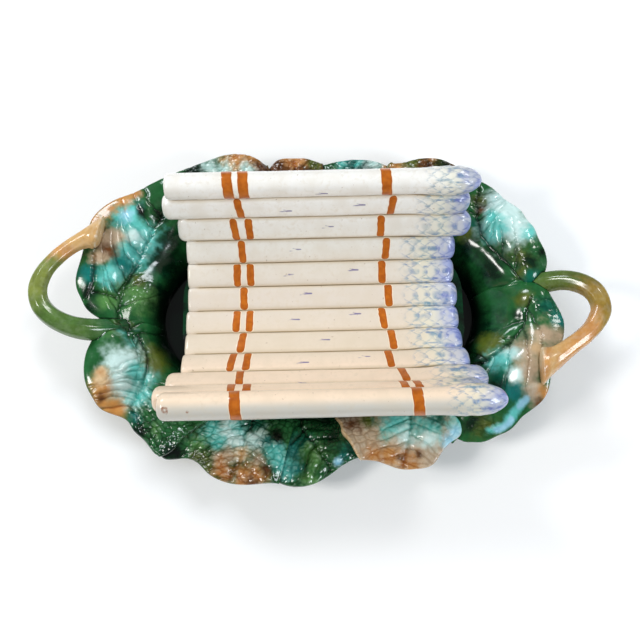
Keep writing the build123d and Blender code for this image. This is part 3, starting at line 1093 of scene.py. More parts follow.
def vein_pattern(around, up, midrib, sheet):
    """Strength of the side veins, and the distance to the nearest, which counts more at their ends."""
    branch = np.zeros(around.shape)
    nearest = np.full(around.shape, np.inf)
    for vein in side_veins(midrib, sheet["vein_step"], sheet["vein_reach"]):
        distance, share = line_distance(around, up, vein)
        width = sheet.get("vein_width", VEIN_WIDTH) * (VEIN_ROOT - VEIN_TAPER * share)
        branch = np.maximum(branch, groove(distance, width) * (1 - VEIN_FADE * share))
        nearest = np.minimum(nearest, distance + VEIN_RISE * share)
    return branch, nearest


def leaf_pattern(around, up, x, y, lines, sheet, seed):
    """Where a leaf has its midrib, side veins, creases and cells. The first line is the midrib."""
    drawn_around = around + waves(around, up, SWAYS, seed)
    drawn_up = up + waves(around, up, SWAYS, seed + 2)
    rib, *creases = (line_distance(drawn_around, drawn_up, line)[0] for line in lines)
    branch, nearest = vein_pattern(drawn_around, drawn_up, lines[0], sheet)
    border = cells(drawn_around, drawn_up, sheet["cell_size"], seed + 4)
    small = cells(drawn_around, drawn_up, sheet["cell_size"] * SMALL_CELL, seed + 5)
    strength = sheet["cells"] * (CELL_EVEN + waves(around, up, CELL_WAVES, seed + 6))
    if "pebbles" in sheet:
        strength = strength * in_spots(x, y, sheet["pebbles"])
    if "smooth" in sheet:
        rough = 1 - in_spots(x, y, sheet["smooth"])
        strength = strength * rough
        branch = branch * rough
        nearest = nearest + SMOOTH_RISE * (1 - rough)
    return SimpleNamespace(
        rib=rib,
        branch=branch,
        nearest=nearest,
        crease=np.max([np.zeros(around.shape)] + [groove(line, CREASE_WIDTH) for line in creases], axis=0),
        border=np.minimum(border, small + SMALL_CELL_LAG),
        strength=strength,
    )


trial_vein, _ = vein_pattern(np.zeros(1), np.ones(1), TRIAL_RIB, LEAVES["leaf_front_mid"])
print("strength of side veins 1 mm up a midrib:", np.round(trial_vein, 3))

# %% [markdown]
# ## The relief of a leaf
# On the dish the veins are grooves, and the leaf swells softly between them. Glaze runs off what stands
# up and pools in what lies low, so the same numbers also say where it is pale and where it is dark.

# %% Leaf relief
MIDRIB_WIDTH = 1.2
MIDRIB_DEPTH = 0.8
FOLD_WIDTH = 6.0
RAIL_PLACE = 2.6
RAIL_WIDTH = 1.2
RAIL_HEIGHT = 0.4
VEIN_DEPTH = 0.55
CREASE_DEPTH = 1.6
CELL_VEIN_WIDTH = 0.55
CELL_VEIN_DEPTH = 0.3
PILLOW_HEIGHT = 0.34
PILLOW_EDGE = 1.6
QUILT_HEIGHT = 0.8
QUILT_EDGE = 4.5
PUCKER_HEIGHT = 0.9
PUCKERS = [(17.0, 1.0), (8.0, 0.35)]
SWELL_SHARE = 1.2
SWELL_REACH = 12.0
SWELL_LEVEL = 0.5
# How much glaze pools in each groove and hollow, and how much runs off each crest
VEIN_POOL = 0.9
CELL_POOL = 0.95
HOLLOW_POOL = 0.3
HOLLOW_FADE = (0.2, 1.2)
RAIL_CREST = 0.7
PUCKER_CREST = 0.35
PUCKER_FADE = (0.2, 1.0)


def leaf_relief(pattern, pucker, sheet):
    """Height added to a smooth leaf, how much glaze pooled there, and how far it ran off."""
    rib = groove(pattern.rib, MIDRIB_WIDTH)
    rails = sheet.get("rail", 1.0) * groove(pattern.rib - RAIL_PLACE, RAIL_WIDTH)
    network = groove(pattern.border, CELL_VEIN_WIDTH) * pattern.strength
    pillow = ease(0.0, PILLOW_EDGE, pattern.border) * pattern.strength
    height = SWELL_SHARE * sheet["fold"] * (SWELL_LEVEL - groove(pattern.rib, SWELL_REACH))
    height += QUILT_HEIGHT * ease(0.0, QUILT_EDGE, pattern.nearest) + PUCKER_HEIGHT * pucker
    height += PILLOW_HEIGHT * pillow + RAIL_HEIGHT * rails
    height -= sheet["fold"] * groove(pattern.rib, FOLD_WIDTH) + MIDRIB_DEPTH * rib
    height -= VEIN_DEPTH * pattern.branch + CELL_VEIN_DEPTH * network + CREASE_DEPTH * pattern.crease
    pooled = np.max([
        sheet.get("rib_dark", 1.0) * rib, VEIN_POOL * pattern.branch, CELL_POOL * network,
        pattern.crease, HOLLOW_POOL * ease(*HOLLOW_FADE, -pucker),
    ], axis=0)
    crest = np.maximum(pillow, RAIL_CREST * rails) + PUCKER_CREST * ease(*PUCKER_FADE, pucker)
    return height, pooled, crest * (1 - np.maximum(rib, pattern.branch))


print("deepest groove:", round(MIDRIB_DEPTH + CREASE_DEPTH, 1), "mm")

# %% [markdown]
# ## Laying the leaves
# Now each leaf's grid is laid on its sections. Where it lies over a neighbour its edge runs on a few
# millimetres and lifts, so that the lap shows. Where it is tucked under, it runs on and sinks. A flush
# edge was smoothed into the neighbour by hand, so it stays level. The lip and the free edges are
# rounded off on both sides, as a wet finger leaves them.

# %% Edges of a leaf
EDGE_ROUND = 1.5
EDGE_WAVE = 1.3
EDGE_WAVES = 60 / 9
CORNER_POWER = 16
# Every use of chance on a leaf has its own seed, counted from the leaf's
FIRST_EDGE_SEED = 20
LAST_EDGE_SEED = 21
RIPPLE_SEED = 22
PUCKER_SEED = 7
PAINT_SEED = 30
MOTTLE_SEED = 90


def rounding(distance):
    """How far a surface drops towards an edge that is rounded off."""
    inside = EDGE_ROUND - np.clip(distance, 0, EDGE_ROUND)
    return EDGE_ROUND - np.sqrt(np.maximum(EDGE_ROUND**2 - inside**2, 0))


def edge_line(lap, share, seed):
    """How far a leaf's edge runs past its joint, from heel to lip. A flush edge runs straight."""
    kind, heel, lip, *corner = lap
    wave = 0 if kind == "flush" else EDGE_WAVE * patches(share * EDGE_WAVES, share * 0, 1.0, seed)
    return heel + (lip - heel) * share + wave - sum(corner) * share**CORNER_POWER


def read_columns(heading, headings, values):
    """Reads section values at any headings, column by column."""
    columns = range(values.shape[1])
    return np.column_stack([np.interp(heading[:, j], headings, values[:, j]) for j in columns])


def lay_leaf(node_name, sheet, seed):
    """A smooth leaf on its grid: places, distances to its edges, and its midrib and creases on its map."""
    headings, radius, top, low, length = read_leaf(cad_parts[node_name])
    share = np.linspace(0, 1, radius.shape[1])
    first_edge = headings[0] - edge_line(sheet["first"], share, seed + FIRST_EDGE_SEED) * MM / radius[0]
    last_edge = headings[-1] + edge_line(sheet["last"], share, seed + LAST_EDGE_SEED) * MM / radius[-1]
    across = np.linspace(0, 1, len(headings))[:, None]
    heading = last_edge + (first_edge - last_edge) * across
    held = np.clip(heading, headings[0], headings[-1])
    radius_here, top_here, low_here = (read_columns(held, headings, part) for part in (radius, top, low))
    length_here = np.interp(held, headings, length) / MM
    base = np.stack([radius_here * np.cos(heading), radius_here * np.sin(heading), top_here], axis=-1)
    normal = np.cross(np.gradient(base, axis=0), np.gradient(base, axis=1))
    normal /= np.linalg.norm(normal, axis=-1, keepdims=True)
    x, y = base[..., 0] / MM, base[..., 1] / MM
    for lobe_x, lobe_y, wide, reach in sheet.get("lobes", []):
        push = reach * MM * share**2 * groove(np.hypot(x - lobe_x, y - lobe_y), wide)
        base[..., 0] += push * np.cos(heading)
        base[..., 1] += push * np.sin(heading)
    drawn = (sheet["midrib"], *sheet.get("creases", []))
    middle = headings.mean()
    return SimpleNamespace(
        base=base,
        normal=normal,
        x=x,
        y=y,
        thick=(top_here - low_here) / MM * normal[..., 2],
        around=(heading - middle) * radius.mean() / MM,
        up=share * length_here,
        to_lip=(1 - share) * length_here,
        to_first=(heading - first_edge) * radius_here / MM,
        to_last=(last_edge - heading) * radius_here / MM,
        lines=[on_map(line, headings, radius, length, middle, radius.mean()) for line in drawn],
    )


print("edges are rounded over", EDGE_ROUND, "mm")

# %% [markdown]
# ## Pressing a leaf
# A Displace modifier could raise the veins, but it moves both sides alike and knows nothing of laps.
# So the heights are added up in code: the relief, a ripple along the lip, and the lift or dip of each
# lap. Every point then moves straight out from the smooth leaf, and the underside follows the top at
# the leaf's thickness, with less relief.

# %% Pressing a leaf
LIP_CALM = 2.2
HEEL_CALM = 5.0
FLUSH_CALM = 7.0
LIP_RIPPLE = 0.8
LIP_RIPPLE_SIZE = 11.0
LIP_RIPPLE_REACH = 14.0
LAP_LIFT = {"over": 1.5, "under": -1.6, "flush": 0.0}
LAP_WIDTH = 9.0
LAP_HEEL = 10.0
THINNEST = 1.4
EDGE_THICKNESS = 0.4
UNDERSIDE_RELIEF = 0.6


def press_leaf(leaf, sheet, seed):
    """Top and underside of a leaf with its relief and laps, pooled glaze and crests."""
    around, up = leaf.around, leaf.up
    ripple = patches(around, up, LIP_RIPPLE_SIZE, seed + RIPPLE_SEED)
    lift = LIP_RIPPLE * ripple * (1 - ease(0.0, LIP_RIPPLE_REACH, leaf.to_lip))
    calm = ease(0.0, LIP_CALM, leaf.to_lip) * ease(0.0, HEEL_CALM, up)
    level = np.ones(up.shape)
    to_edge = leaf.to_lip
    for kind, to_side in ((sheet["first"][0], leaf.to_first), (sheet["last"][0], leaf.to_last)):
        lift = lift + LAP_LIFT[kind] * (1 - ease(0.0, LAP_WIDTH, to_side)) * ease(0.0, LAP_HEEL, up)
        if kind == "flush":
            level = level * ease(0.0, FLUSH_CALM, to_side)
        else:
            to_edge = np.minimum(to_edge, to_side)
    pattern = leaf_pattern(around, up, leaf.x, leaf.y, leaf.lines, sheet, seed)
    pucker = waves(around, up, PUCKERS, seed + PUCKER_SEED)
    height, pooled, crest = leaf_relief(pattern, pucker, sheet)
    height = height * calm * level
    for lump_x, lump_y, wide, high in sheet.get("lumps", []):
        height += high * groove(np.hypot(leaf.x - lump_x, leaf.y - lump_y), wide)
    drop = rounding(to_edge)
    lift = lift * level
    above = height + lift - drop
    below = UNDERSIDE_RELIEF * height + lift - np.maximum(leaf.thick, THINNEST) + drop
    below = np.minimum(below, above - EDGE_THICKNESS)
    top_points = leaf.base + leaf.normal * (above * MM)[..., None]
    low_points = leaf.base + leaf.normal * (below * MM)[..., None]
    return top_points, low_points, pooled * calm, crest


print("laps lift by", LAP_LIFT, "mm")

# %% [markdown]
# ## Glazing a leaf
# The decorator worked daub by daub. The deep inner wall is painted nearly black towards the heel as
# painted shade, and the underside has a plain mottled coat. Colours brushed onto the points stay in
# their place on the leaf from every side. Glaze also pools where a leaf meets a stem, and painted shade
# lies where the stem rests on the leaf, so points close to a handle turn dark.

# %% Glazing a leaf
RIBBON_FADE = (1.2, 2.4)
WALL_SHADE_FADE = (6.5, 26.0)
WALL_SHADE_SHARE = 0.95
TOUCH_POOL_AND_SHADE_FADE = (0.3, 1.6)
TOUCH_SEARCH = 3.2 * MM
UNDERSIDE_CREST = 0.2
MOTTLE_SIZE = 6.0
BROWN_MOTTLE = (0.1, 0.6)
GREEN_MOTTLE = (0.2, 0.7)


def touch_distance(points, trees):
    """Distance in millimetres from each point to the nearest of some pieces."""
    found = np.full(len(points), np.inf)
    for index, point in enumerate(points):
        for tree in trees:
            gap = tree.find_nearest(Vector(point), TOUCH_SEARCH)[3]
            if gap is not None:
                found[index] = min(found[index], gap / MM)
    return found


def cover(painted, glaze, share):
    """Lays a share of a glaze over painted colours."""
    return painted + share[:, None] * (POTS[glaze] - painted)


def glaze_top(leaf, sheet, seed, spot):
    """Colours of a leaf's upper side: daubs, a ribbon along the first edge, and painted shade that darkens
    the inner wall.
    """
    painted = paint(leaf.x[spot], leaf.y[spot], sheet["ground"], sheet["daubs"], seed + PAINT_SEED)
    if "ribbon" in sheet:
        painted = cover(painted, sheet["ribbon"], 1 - ease(*RIBBON_FADE, leaf.to_first[spot]))
    return cover(painted, "black", WALL_SHADE_SHARE * (1 - ease(*WALL_SHADE_FADE, leaf.up[spot])))


def glaze_underside(leaf, seed, spot):
    """Colours of a leaf's underside: olive with brown and green patches."""
    mottle = patches(leaf.x[spot], leaf.y[spot], MOTTLE_SIZE, seed + MOTTLE_SEED)
    olive = np.tile(POTS["olive"], (len(mottle), 1))
    browned = cover(olive, "brown", ease(*BROWN_MOTTLE, mottle))
    return cover(browned, "green", ease(*GREEN_MOTTLE, -mottle))


print("glazes on the undersides: olive, brown, green")

# %% [markdown]
# ## Making all leaves
# Each leaf starts as a flat grid with two sides, takes the places and colours of the pressed leaf, and
# is handed over to the dish in place of its smooth CAD node.

# %% Leaf pieces
LEAF_SEEDS = 100


def make_leaf(node_name, sheet, seed):
    """One leaf: laid, pressed, glazed and handed over."""
    leaf = lay_leaf(node_name, sheet, seed)
    top_points, low_points, pooled, crest = press_leaf(leaf, sheet, seed)
    columns, rows = (count - 1 for count in leaf.up.shape)
    piece, _, _ = new_grid(f"glazed_{node_name}", columns, rows)
    across, along, on_top = thicken(piece)
    spot = np.rint(across * columns).astype(int), np.rint(along * rows).astype(int)
    points = np.where(on_top[:, None], top_points[spot], low_points[spot])
    place_points(piece, points)
    top_glaze = glaze_top(leaf, sheet, seed, spot)
    painted = np.where(on_top[:, None], top_glaze, glaze_underside(leaf, seed, spot))
    # Points near a handle turn dark: pooled glaze, and painted shade where the stem rests on the leaf.
    pooled_and_shaded_by_handle = 1 - ease(*TOUCH_POOL_AND_SHADE_FADE, touch_distance(points, handle_trees))
    store(piece, "brushed", painted)
    store(piece, "pooled", np.where(on_top, np.maximum(pooled[spot], pooled_and_shaded_by_handle), 0.0))
    store(piece, "crest", np.where(on_top, crest[spot], UNDERSIDE_CREST))
    hand_over(piece, node_name, "platter", leaf_glaze)
    return piece


for order, (node_name, sheet) in enumerate(LEAVES.items(), start=1):
    piece = make_leaf(node_name, sheet, LEAF_SEEDS * order)
    print(piece.name, len(piece.data.polygons), "faces")

# %% [markdown]
# ## The stalk finish
# The stalks are covered in a creamy white glaze, set warm at the front and cool at the back. The lamps
# reach the middle of the trough best, so painted shade dulls the white there to even that out, and the
# outer side of the front stalk is painted greyer as painted shade. Brown slip lies in the joints, and a
# band of painted shade lies beside each joint. The ties, the little bract marks and the tints on the buds
# are painted by hand. Each is kept on the points as a distance to its outline, because a distance stays
# sharp between two points where a yes or no would fray.

# %% Whites and painted shade
# White of the stalks by their place across the dish, in metres from the front rim to the back
# The first step is painted shade on the outer side of the front stalk, and the duller steps in the middle
# are painted shade that evens out the lamps.
WHITES_WITH_PAINTED_SHADE = [
    (-0.080, (202, 198, 188)), (-0.073, (243, 219, 193)), (-0.050, (240, 217, 193)),
    (-0.028, (219, 204, 184)), (0.009, (214, 203, 190)), (0.028, (222, 214, 202)),
    (0.044, (232, 229, 221)), (0.066, (241, 239, 234)),
]
print("whites:", len(WHITES_WITH_PAINTED_SHADE))

# %% Colours and clouds of the stalks
CLOUD_AND_PAINTED_SHADE_WHITE = colour(206, 190, 164)
JOINT_BROWN = colour(158, 134, 96)
TIE_BROWN = colour(190, 104, 26)
TIE_DARK = colour(146, 66, 8)
TIE_HALO = colour(250, 228, 192)
BRACT_PURPLE = colour(98, 92, 142)
BUD_GREEN = colour(222, 220, 196)
BUD_BLUE = colour(116, 150, 168)
BUD_PURPLE = colour(98, 108, 174)
TIP_LILAC = colour(152, 164, 208)
SPECK_BROWN = colour(140, 104, 76)
CHIP_BROWN = colour(132, 72, 26)
# Clouds: scale, detail and seed of their noise, and its values at a cloud's edge and middle
WHITE_CLOUD = (70.0, 3.0, 1.0, 0.42, 0.7)
WHITE_GRAIN = (330.0, 3.0, 7.0, 0.45, 0.75)
DAUB_CLOUD = (300.0, 2.0, 2.0, 0.36, 0.6)
TINT_CLOUD = (130.0, 2.0, 3.0, 0.42, 0.6)
BRUSH_CLOUD = (240.0, 3.0, 4.0, 0.32, 0.68)
SPECKS = (480.0, 1.0, 5.0, 0.71, 0.78)
STALK_RIPPLE = (220.0, 2.0, 6.0)
STALK_RIPPLE_STRENGTH = 0.1
STALK_RIPPLE_DEPTH = 0.0005
# Millimetres from a joint, or from the outline of a mark, where each colour ends and where it is full
JOINT_PAINTED_SHADE = (2.6, 0.0)
JOINT_LINE = (0.55, 0.05)
BRACT_FADE = (0.22, -0.22)
TIE_FADE = (0.15, -0.15)
TIE_HALO_FADE = (0.9, 0.2)
TIE_RIM = (-0.9, -0.1)
CHIP_FADE = (0.3, -0.3)
# Shares of the way from a bud's foot to its tip where each tint starts and is full
GREEN_RISE = (0.0, 0.7)
LILAC_RISE = (0.45, 0.95)
PURPLE_RISE = (0.45, 0.85)
# How far each colour covers what lies under it
CLOUD_SHARE = 0.25
GRAIN_SHARE = 0.3
PAINTED_SHADE_SHARE = 0.7
JOINT_SHARE = 0.8
GREEN_SHARE = 0.7
TINT_SHARE = 0.4
SCALE_LEAST = 0.4
SCALE_SPREAD = 0.55
BRACT_SHARE = 0.85
HALO_SHARE = 0.6
BRUSH_SHARE = 0.6
TIE_RIM_SHARE = 0.7
CHIP_LEAST = 0.1
SPECK_SHARE = 0.45
print("a tie's halo is", TIE_HALO_FADE[0], "mm wide")

# %% Stalk glaze


def white_glaze_and_painted_shade(place):
    """The white of the stalks, which changes across the dish and carries painted shade in the middle and on
    the front stalk, with soft clouds and grain, and painted shade beside the joints.
    """
    back = place.node("ShaderNodeSeparateXYZ", None, {"Vector": place}, output="Y")
    white = colour(*WHITES_WITH_PAINTED_SHADE[0][1])
    for (start, _), (end, shade) in zip(WHITES_WITH_PAINTED_SHADE, WHITES_WITH_PAINTED_SHADE[1:]):
        white = back.ease(start, end).mix(white, colour(*shade))
    clouds = (CLOUD_SHARE * place.cloud(*WHITE_CLOUD)).larger(GRAIN_SHARE * place.cloud(*WHITE_GRAIN))
    white = clouds.mix(white, CLOUD_AND_PAINTED_SHADE_WHITE)
    joint = place.attribute("joint")
    # A band of painted shade lies beside each joint. The thin brown line in the joint itself is slip.
    shaded = (joint.ease(*JOINT_PAINTED_SHADE) * PAINTED_SHADE_SHARE).mix(white, CLOUD_AND_PAINTED_SHADE_WHITE)
    return (joint.ease(*JOINT_LINE) * JOINT_SHARE).mix(shaded, JOINT_BROWN)


def bud_glaze(place, white):
    """The tints of the buds: green, then lilac to the tip, with blue and purple on the scales."""
    bud = place.attribute("bud")
    tint = place.cloud(*TINT_CLOUD)
    greened = (bud.ease(*GREEN_RISE) * GREEN_SHARE).mix(white, BUD_GREEN)
    tipped = (bud.ease(*LILAC_RISE) * (1 - TINT_SHARE + TINT_SHARE * tint)).mix(greened, TIP_LILAC)
    shade = (bud.ease(*PURPLE_RISE) * (1 - TINT_SHARE) + TINT_SHARE * tint).mix(BUD_BLUE, BUD_PURPLE)
    daubed = SCALE_LEAST + SCALE_SPREAD * place.cloud(*DAUB_CLOUD)
    return (place.attribute("scale_paint") * daubed).mix(tipped, shade)


def stalk_finish(name):
    """White glaze with tinted buds, bract marks, ties, chips and a few specks."""
    material, surface, place = new_finish(name, roughness=0.35, gloss=0.8)
    tinted = bud_glaze(place, white_glaze_and_painted_shade(place))
    marked = (place.attribute("bract").ease(*BRACT_FADE) * BRACT_SHARE).mix(tinted, BRACT_PURPLE)
    tie = place.attribute("tie")
    brush = place.cloud(*BRUSH_CLOUD)
    halo = (tie.ease(*TIE_HALO_FADE) * HALO_SHARE).mix(marked, TIE_HALO)
    brown = (brush * BRUSH_SHARE).larger(tie.ease(*TIE_RIM) * TIE_RIM_SHARE).mix(TIE_BROWN, TIE_DARK)
    tied = tie.ease(*TIE_FADE).mix(halo, brown)
    bared = CHIP_LEAST + (1 - CHIP_LEAST) * brush
    chipped = (place.attribute("chip").ease(*CHIP_FADE) * bared).mix(tied, CHIP_BROWN)
    specked = (SPECK_SHARE * place.cloud(*SPECKS)).mix(chipped, SPECK_BROWN)
    dress(surface, specked, place.noise(*STALK_RIPPLE), STALK_RIPPLE_STRENGTH, STALK_RIPPLE_DEPTH)
    return material


stalk_glaze = stalk_finish("stalk_glaze")
print("stalk finish:", len(stalk_glaze.node_tree.nodes), "nodes")

# %% [markdown]
# ## The stalks
# Twelve stalks lie at even steps in a round trough, each turned so that its crown faces the middle of
# the trough. On the real piece the inner stalks are pressed low and flat against one another with
# shallow joints, while the two at the rims are round. Their ends along the dish come from the CAD boxes.

# %% Where the stalks lie
STALK_COUNT = 12
STALK_NAMES = [f"stalk_{number:02d}" for number in range(1, STALK_COUNT + 1)]
RIM_STALKS = (1, STALK_COUNT)
TROUGH_RADIUS = 81.0
TROUGH_HEIGHT = 116.0
STALK_STEP = radians(12.6)
STALK_RADIUS = 9.2
# Height of the crown over the axis, half width, and squareness of the shoulders, 2 being round
INNER_SECTION = (5.9, 9.4, 3.2)
RIM_SECTIONS = {1: (9.2, 9.2, 2.0), 2: (7.5, 9.3, 2.5), 11: (7.5, 9.3, 2.5), 12: (9.2, 9.2, 2.0)}
# Length of the rounded nose of a bud and its bluntness, 2 being round
INNER_NOSE = (7.5, 2.7)
RIM_NOSES = {1: (19, 2.0), 2: (12, 2.3), 3: (12, 2.3), 10: (12, 2.3), 11: (12, 2.3), 12: (19, 2.0)}


def stalk_place(number):
    """Tilt of a stalk's crown, and its axis across and up in millimetres."""
    tilt = (number - (STALK_COUNT + 1) / 2) * STALK_STEP
    return tilt, -TROUGH_RADIUS * sin(tilt), TROUGH_HEIGHT - TROUGH_RADIUS * cos(tilt)


print("axes up:", [round(stalk_place(number)[2], 1) for number in range(1, STALK_COUNT + 1)])

# %% [markdown]
# ## Painted marks
# Two ties and one tie take turns from row to row, like a basket weave, and one or two more stand by
# the buds. A bract mark is a small open V. All are given in millimetres along the stalk and across it.

# %% Ties and bracts
TIE_HALF_WIDTH = 2.6
RIM_TIE_HALF_WIDTH = 3.5
TIE_HALF_LENGTH = 8.1
TIE_ROUND = 1.9
TIE_FRAY = 0.3
TIE_FRAY_SIZE = 2.5
BRACT_LENGTH = 8.4
BRACT_SPREAD = 1.15
BRACT_STROKE = 0.46
BRACT_TAPER = 1.2
# A V has a middle stroke at a share of its spread, and its far stroke has a share of its length
BRACT_MIDDLE = 0.25
BRACT_SHORT = 0.7
# Where a stroke bends, as shares of its length and spread
BRACT_BEND = (0.45, 0.3)
CHIP_RIM = 0.4
CHIP_WAVE = (2.1, 0.4, 77)
CHIP_FRAY = (1.3, 0.25, 78)
# Kept as the distance where no mark is near
FAR_OFF = 9.0
TIE_SEED = 400

# Place along and slant of every tie, row by row from the back
TIES = [
    [(-59, 0.08), (-48.7, 0.04), (48.7, 0.05)], [(-53, 0.16), (52.6, -0.14)],
    [(-57.5, 0.13), (-47.4, 0.06), (45.5, -0.03)], [(-53.3, 0.04), (49.2, -0.08)],
    [(-57.4, 0), (-48, 0), (46.1, 0)], [(-52.9, 0), (50.4, 0.03)],
    [(-58.1, -0.06), (-48.9, -0.05), (45.8, 0.12)], [(-54, -0.14), (51.5, 0.1)],
    [(-60.2, -0.14), (-49.9, -0.1), (48.4, 0.12)], [(-53.8, 0), (56.6, 0.22)],
    [(-58.1, 0), (-47.8, 0), (55, 0.2), (63.9, 0.2)], [(-54.5, 0.05), (61.2, 0.07)],
]
# Place along and across of every bract mark
BRACTS = [
    [(8, 1)], [(-17, 1), (34, -2.5)], [(12, -1)], [(-11.5, -1)], [(-17, 0.5), (29, -2)], [(-4.5, -2.5)],
    [(-13.5, 0), (30, -3.5)], [(7.5, 0)], [(-7.5, 3), (35, -1)], [(-9, 8)], [], [(25, -7)],
]
# Chips in the glaze of the front stalk: place along, across and radius
CHIPS = {12: [(-98, 14.5, 1.9), (-83.5, 16, 0.8)]}
print("ties:", sum(len(row) for row in TIES), "bract marks:", sum(len(row) for row in BRACTS))

# %% Distances to the marks


def rounded_box(along, across, half_along, half_across, corner):
    """Distance to a box with rounded corners, negative inside."""
    past_along = np.abs(along) - half_along + corner
    past_across = np.abs(across) - half_across + corner
    outside = np.hypot(np.maximum(past_along, 0), np.maximum(past_across, 0))
    return outside + np.minimum(np.maximum(past_along, past_across), 0) - corner


def tie_distance(number, along, across):
    """Distance to the nearest tie of a row. The two rim stalks have ties all the way round."""
    fray = TIE_FRAY * patches(along, across, TIE_FRAY_SIZE, number + TIE_SEED)
    nearest = np.full(along.shape, FAR_OFF)
    for place, slant in TIES[number - 1]:
        off = along - place - slant * across
        if number in RIM_STALKS:
            distance = np.abs(off) - RIM_TIE_HALF_WIDTH
        else:
            distance = rounded_box(off, across, TIE_HALF_WIDTH, TIE_HALF_LENGTH, TIE_ROUND)
        nearest = np.minimum(nearest, distance + fray)
    return nearest


def bract_distance(number, along, across):
    """Distance to the nearest V, which points to the bud, negative inside its strokes."""
    nearest = np.full(along.shape, FAR_OFF)
    bend_along, bend_across = BRACT_BEND
    for place, aside in BRACTS[number - 1]:
        for spread in (BRACT_SPREAD, BRACT_MIDDLE * BRACT_SPREAD, -BRACT_SPREAD):
            reach = BRACT_LENGTH if spread > 0 else BRACT_SHORT * BRACT_LENGTH
            bend = (place - bend_along * reach, aside + bend_across * spread)
            line = [(place, aside), bend, (place - reach, aside + spread)]
            distance, share = line_distance(along, across, line)
            nearest = np.minimum(nearest, distance - BRACT_STROKE * (BRACT_TAPER - share))
    return nearest


def chip_distance(number, along, across):
    """Distance to the ragged brown rim of a chip, negative inside it."""
    nearest = np.full(along.shape, FAR_OFF)
    wave_size, wave, wave_seed = CHIP_WAVE
    fray_size, fray, fray_seed = CHIP_FRAY
    for place, aside, radius in CHIPS.get(number, []):
        ragged = 1 + wave * patches(along, across, wave_size, wave_seed)
        ragged += fray * patches(across, along, fray_size, fray_seed)
        distance = np.hypot(along - place, across - aside)
        nearest = np.minimum(nearest, np.abs(distance - radius * ragged) - CHIP_RIM * radius)
    return nearest


trial_tie = tie_distance(1, np.array([TIES[0][0][0]]), np.zeros(1))
print("distance in the middle of a tie:", np.round(trial_tie, 1), "mm")

# %% [markdown]
# ## Bud scales
# A bud is wrapped in pointed scales that overlap like roof tiles, the lower ones over the upper. Each
# scale rises towards its point, and the tallest scale at a spot is the one that shows. The decorator
# touched the points and the rims of the scales with blue and purple.

# %% Bud scales
BUD_LENGTH = 42.0
SCALE_STEP = 4.6
SCALES_AROUND = 8
SCALE_LENGTH = 10.5
SCALE_WIDTH = 4.6
SCALE_POINT = 1.3
SCALE_HEIGHT = 0.75
SCALE_SLOPE = 1.6
SLOPE_POWER = 0.6
# Millimetres from the tip to the first points, and how uneven the scales stand
FIRST_POINT = 1.0
POINT_JITTER = 0.8
ASIDE_JITTER = 0.1
# Paint on a scale: a daub near its point and a stroke along its rim
SCALE_PAINT = 0.8
TIP_DAUB = 0.8
TIP_DAUB_RISE = (0.45, 0.75)
TIP_DAUB_FADE = (0.3, 1.0)
RIM_STROKE = 0.9
RIM_STROKE_RISE = (0.2, 0.6)


def bud_scales(to_tip, around, girth, seed):
    """Height of the overlapping scales on a bud, and how much paint their points and rims hold."""
    rng = np.random.default_rng(seed)
    height = np.zeros(to_tip.shape)
    painted = np.zeros(to_tip.shape)
    spread = girth / SCALES_AROUND
    for row in range(int(BUD_LENGTH / SCALE_STEP)):
        for column in range(SCALES_AROUND):
            point = FIRST_POINT + row * SCALE_STEP + rng.uniform(-POINT_JITTER, POINT_JITTER)
            middle = (column + 0.5 * (row % 2) + ASIDE_JITTER * rng.uniform(-1, 1)) * spread
            off = np.abs((around - middle + girth / 2) % girth - girth / 2)
            share = 1 - (to_tip - point) / SCALE_LENGTH
            held = np.clip(share, 0, 1)
            wide = SCALE_WIDTH * (1 - held**SCALE_POINT)
            on_scale = (share > 0) & (share < 1) & (off < wide)
            edge = np.clip((wide - off) / SCALE_SLOPE, 0, 1)
            risen = np.where(on_scale, held * edge**SLOPE_POWER, 0)
            shows = risen >= height
            daub = SCALE_PAINT * ease(*TIP_DAUB_RISE, held) * (1 - ease(*TIP_DAUB_FADE, off / TIP_DAUB))
            rim = SCALE_PAINT * groove(wide - off, RIM_STROKE) * ease(*RIM_STROKE_RISE, held)
            painted = np.where(on_scale & shows, np.maximum(daub, rim), painted)
            height = np.maximum(height, risen)
    return height, painted


print("scales on a bud:", int(BUD_LENGTH / SCALE_STEP) * SCALES_AROUND)

# %% [markdown]
# ## The outline of a stalk
# Seen from the side, a stalk is a straight rod with a rounded cut end and a bud that swells a little
# and closes in a blunt nose. It is written as a row of places with a thickness at each, closer together
# where the outline bends.

# %% Stalk profile
STALK_AROUND = 104
UPPER_SHARE = 0.7
BUTT_ROUND = 2.2
RIM_BUTTS = {1: 3, 2: 5, 3: 5, 10: 5, 11: 5, 12: 5}
BUTT_ROWS = 8
BODY_STEP = 0.75
BUD_STEP = 0.45
NOSE_ROWS = 26
# Millimetres from the tip and the thickness there, as a share of the full radius
THICKNESS = [(0, 1.02), (15, 1.04), (28, 1.04), (46, 0.97), (200, 1.0)]
CUT_DISH = 0.4


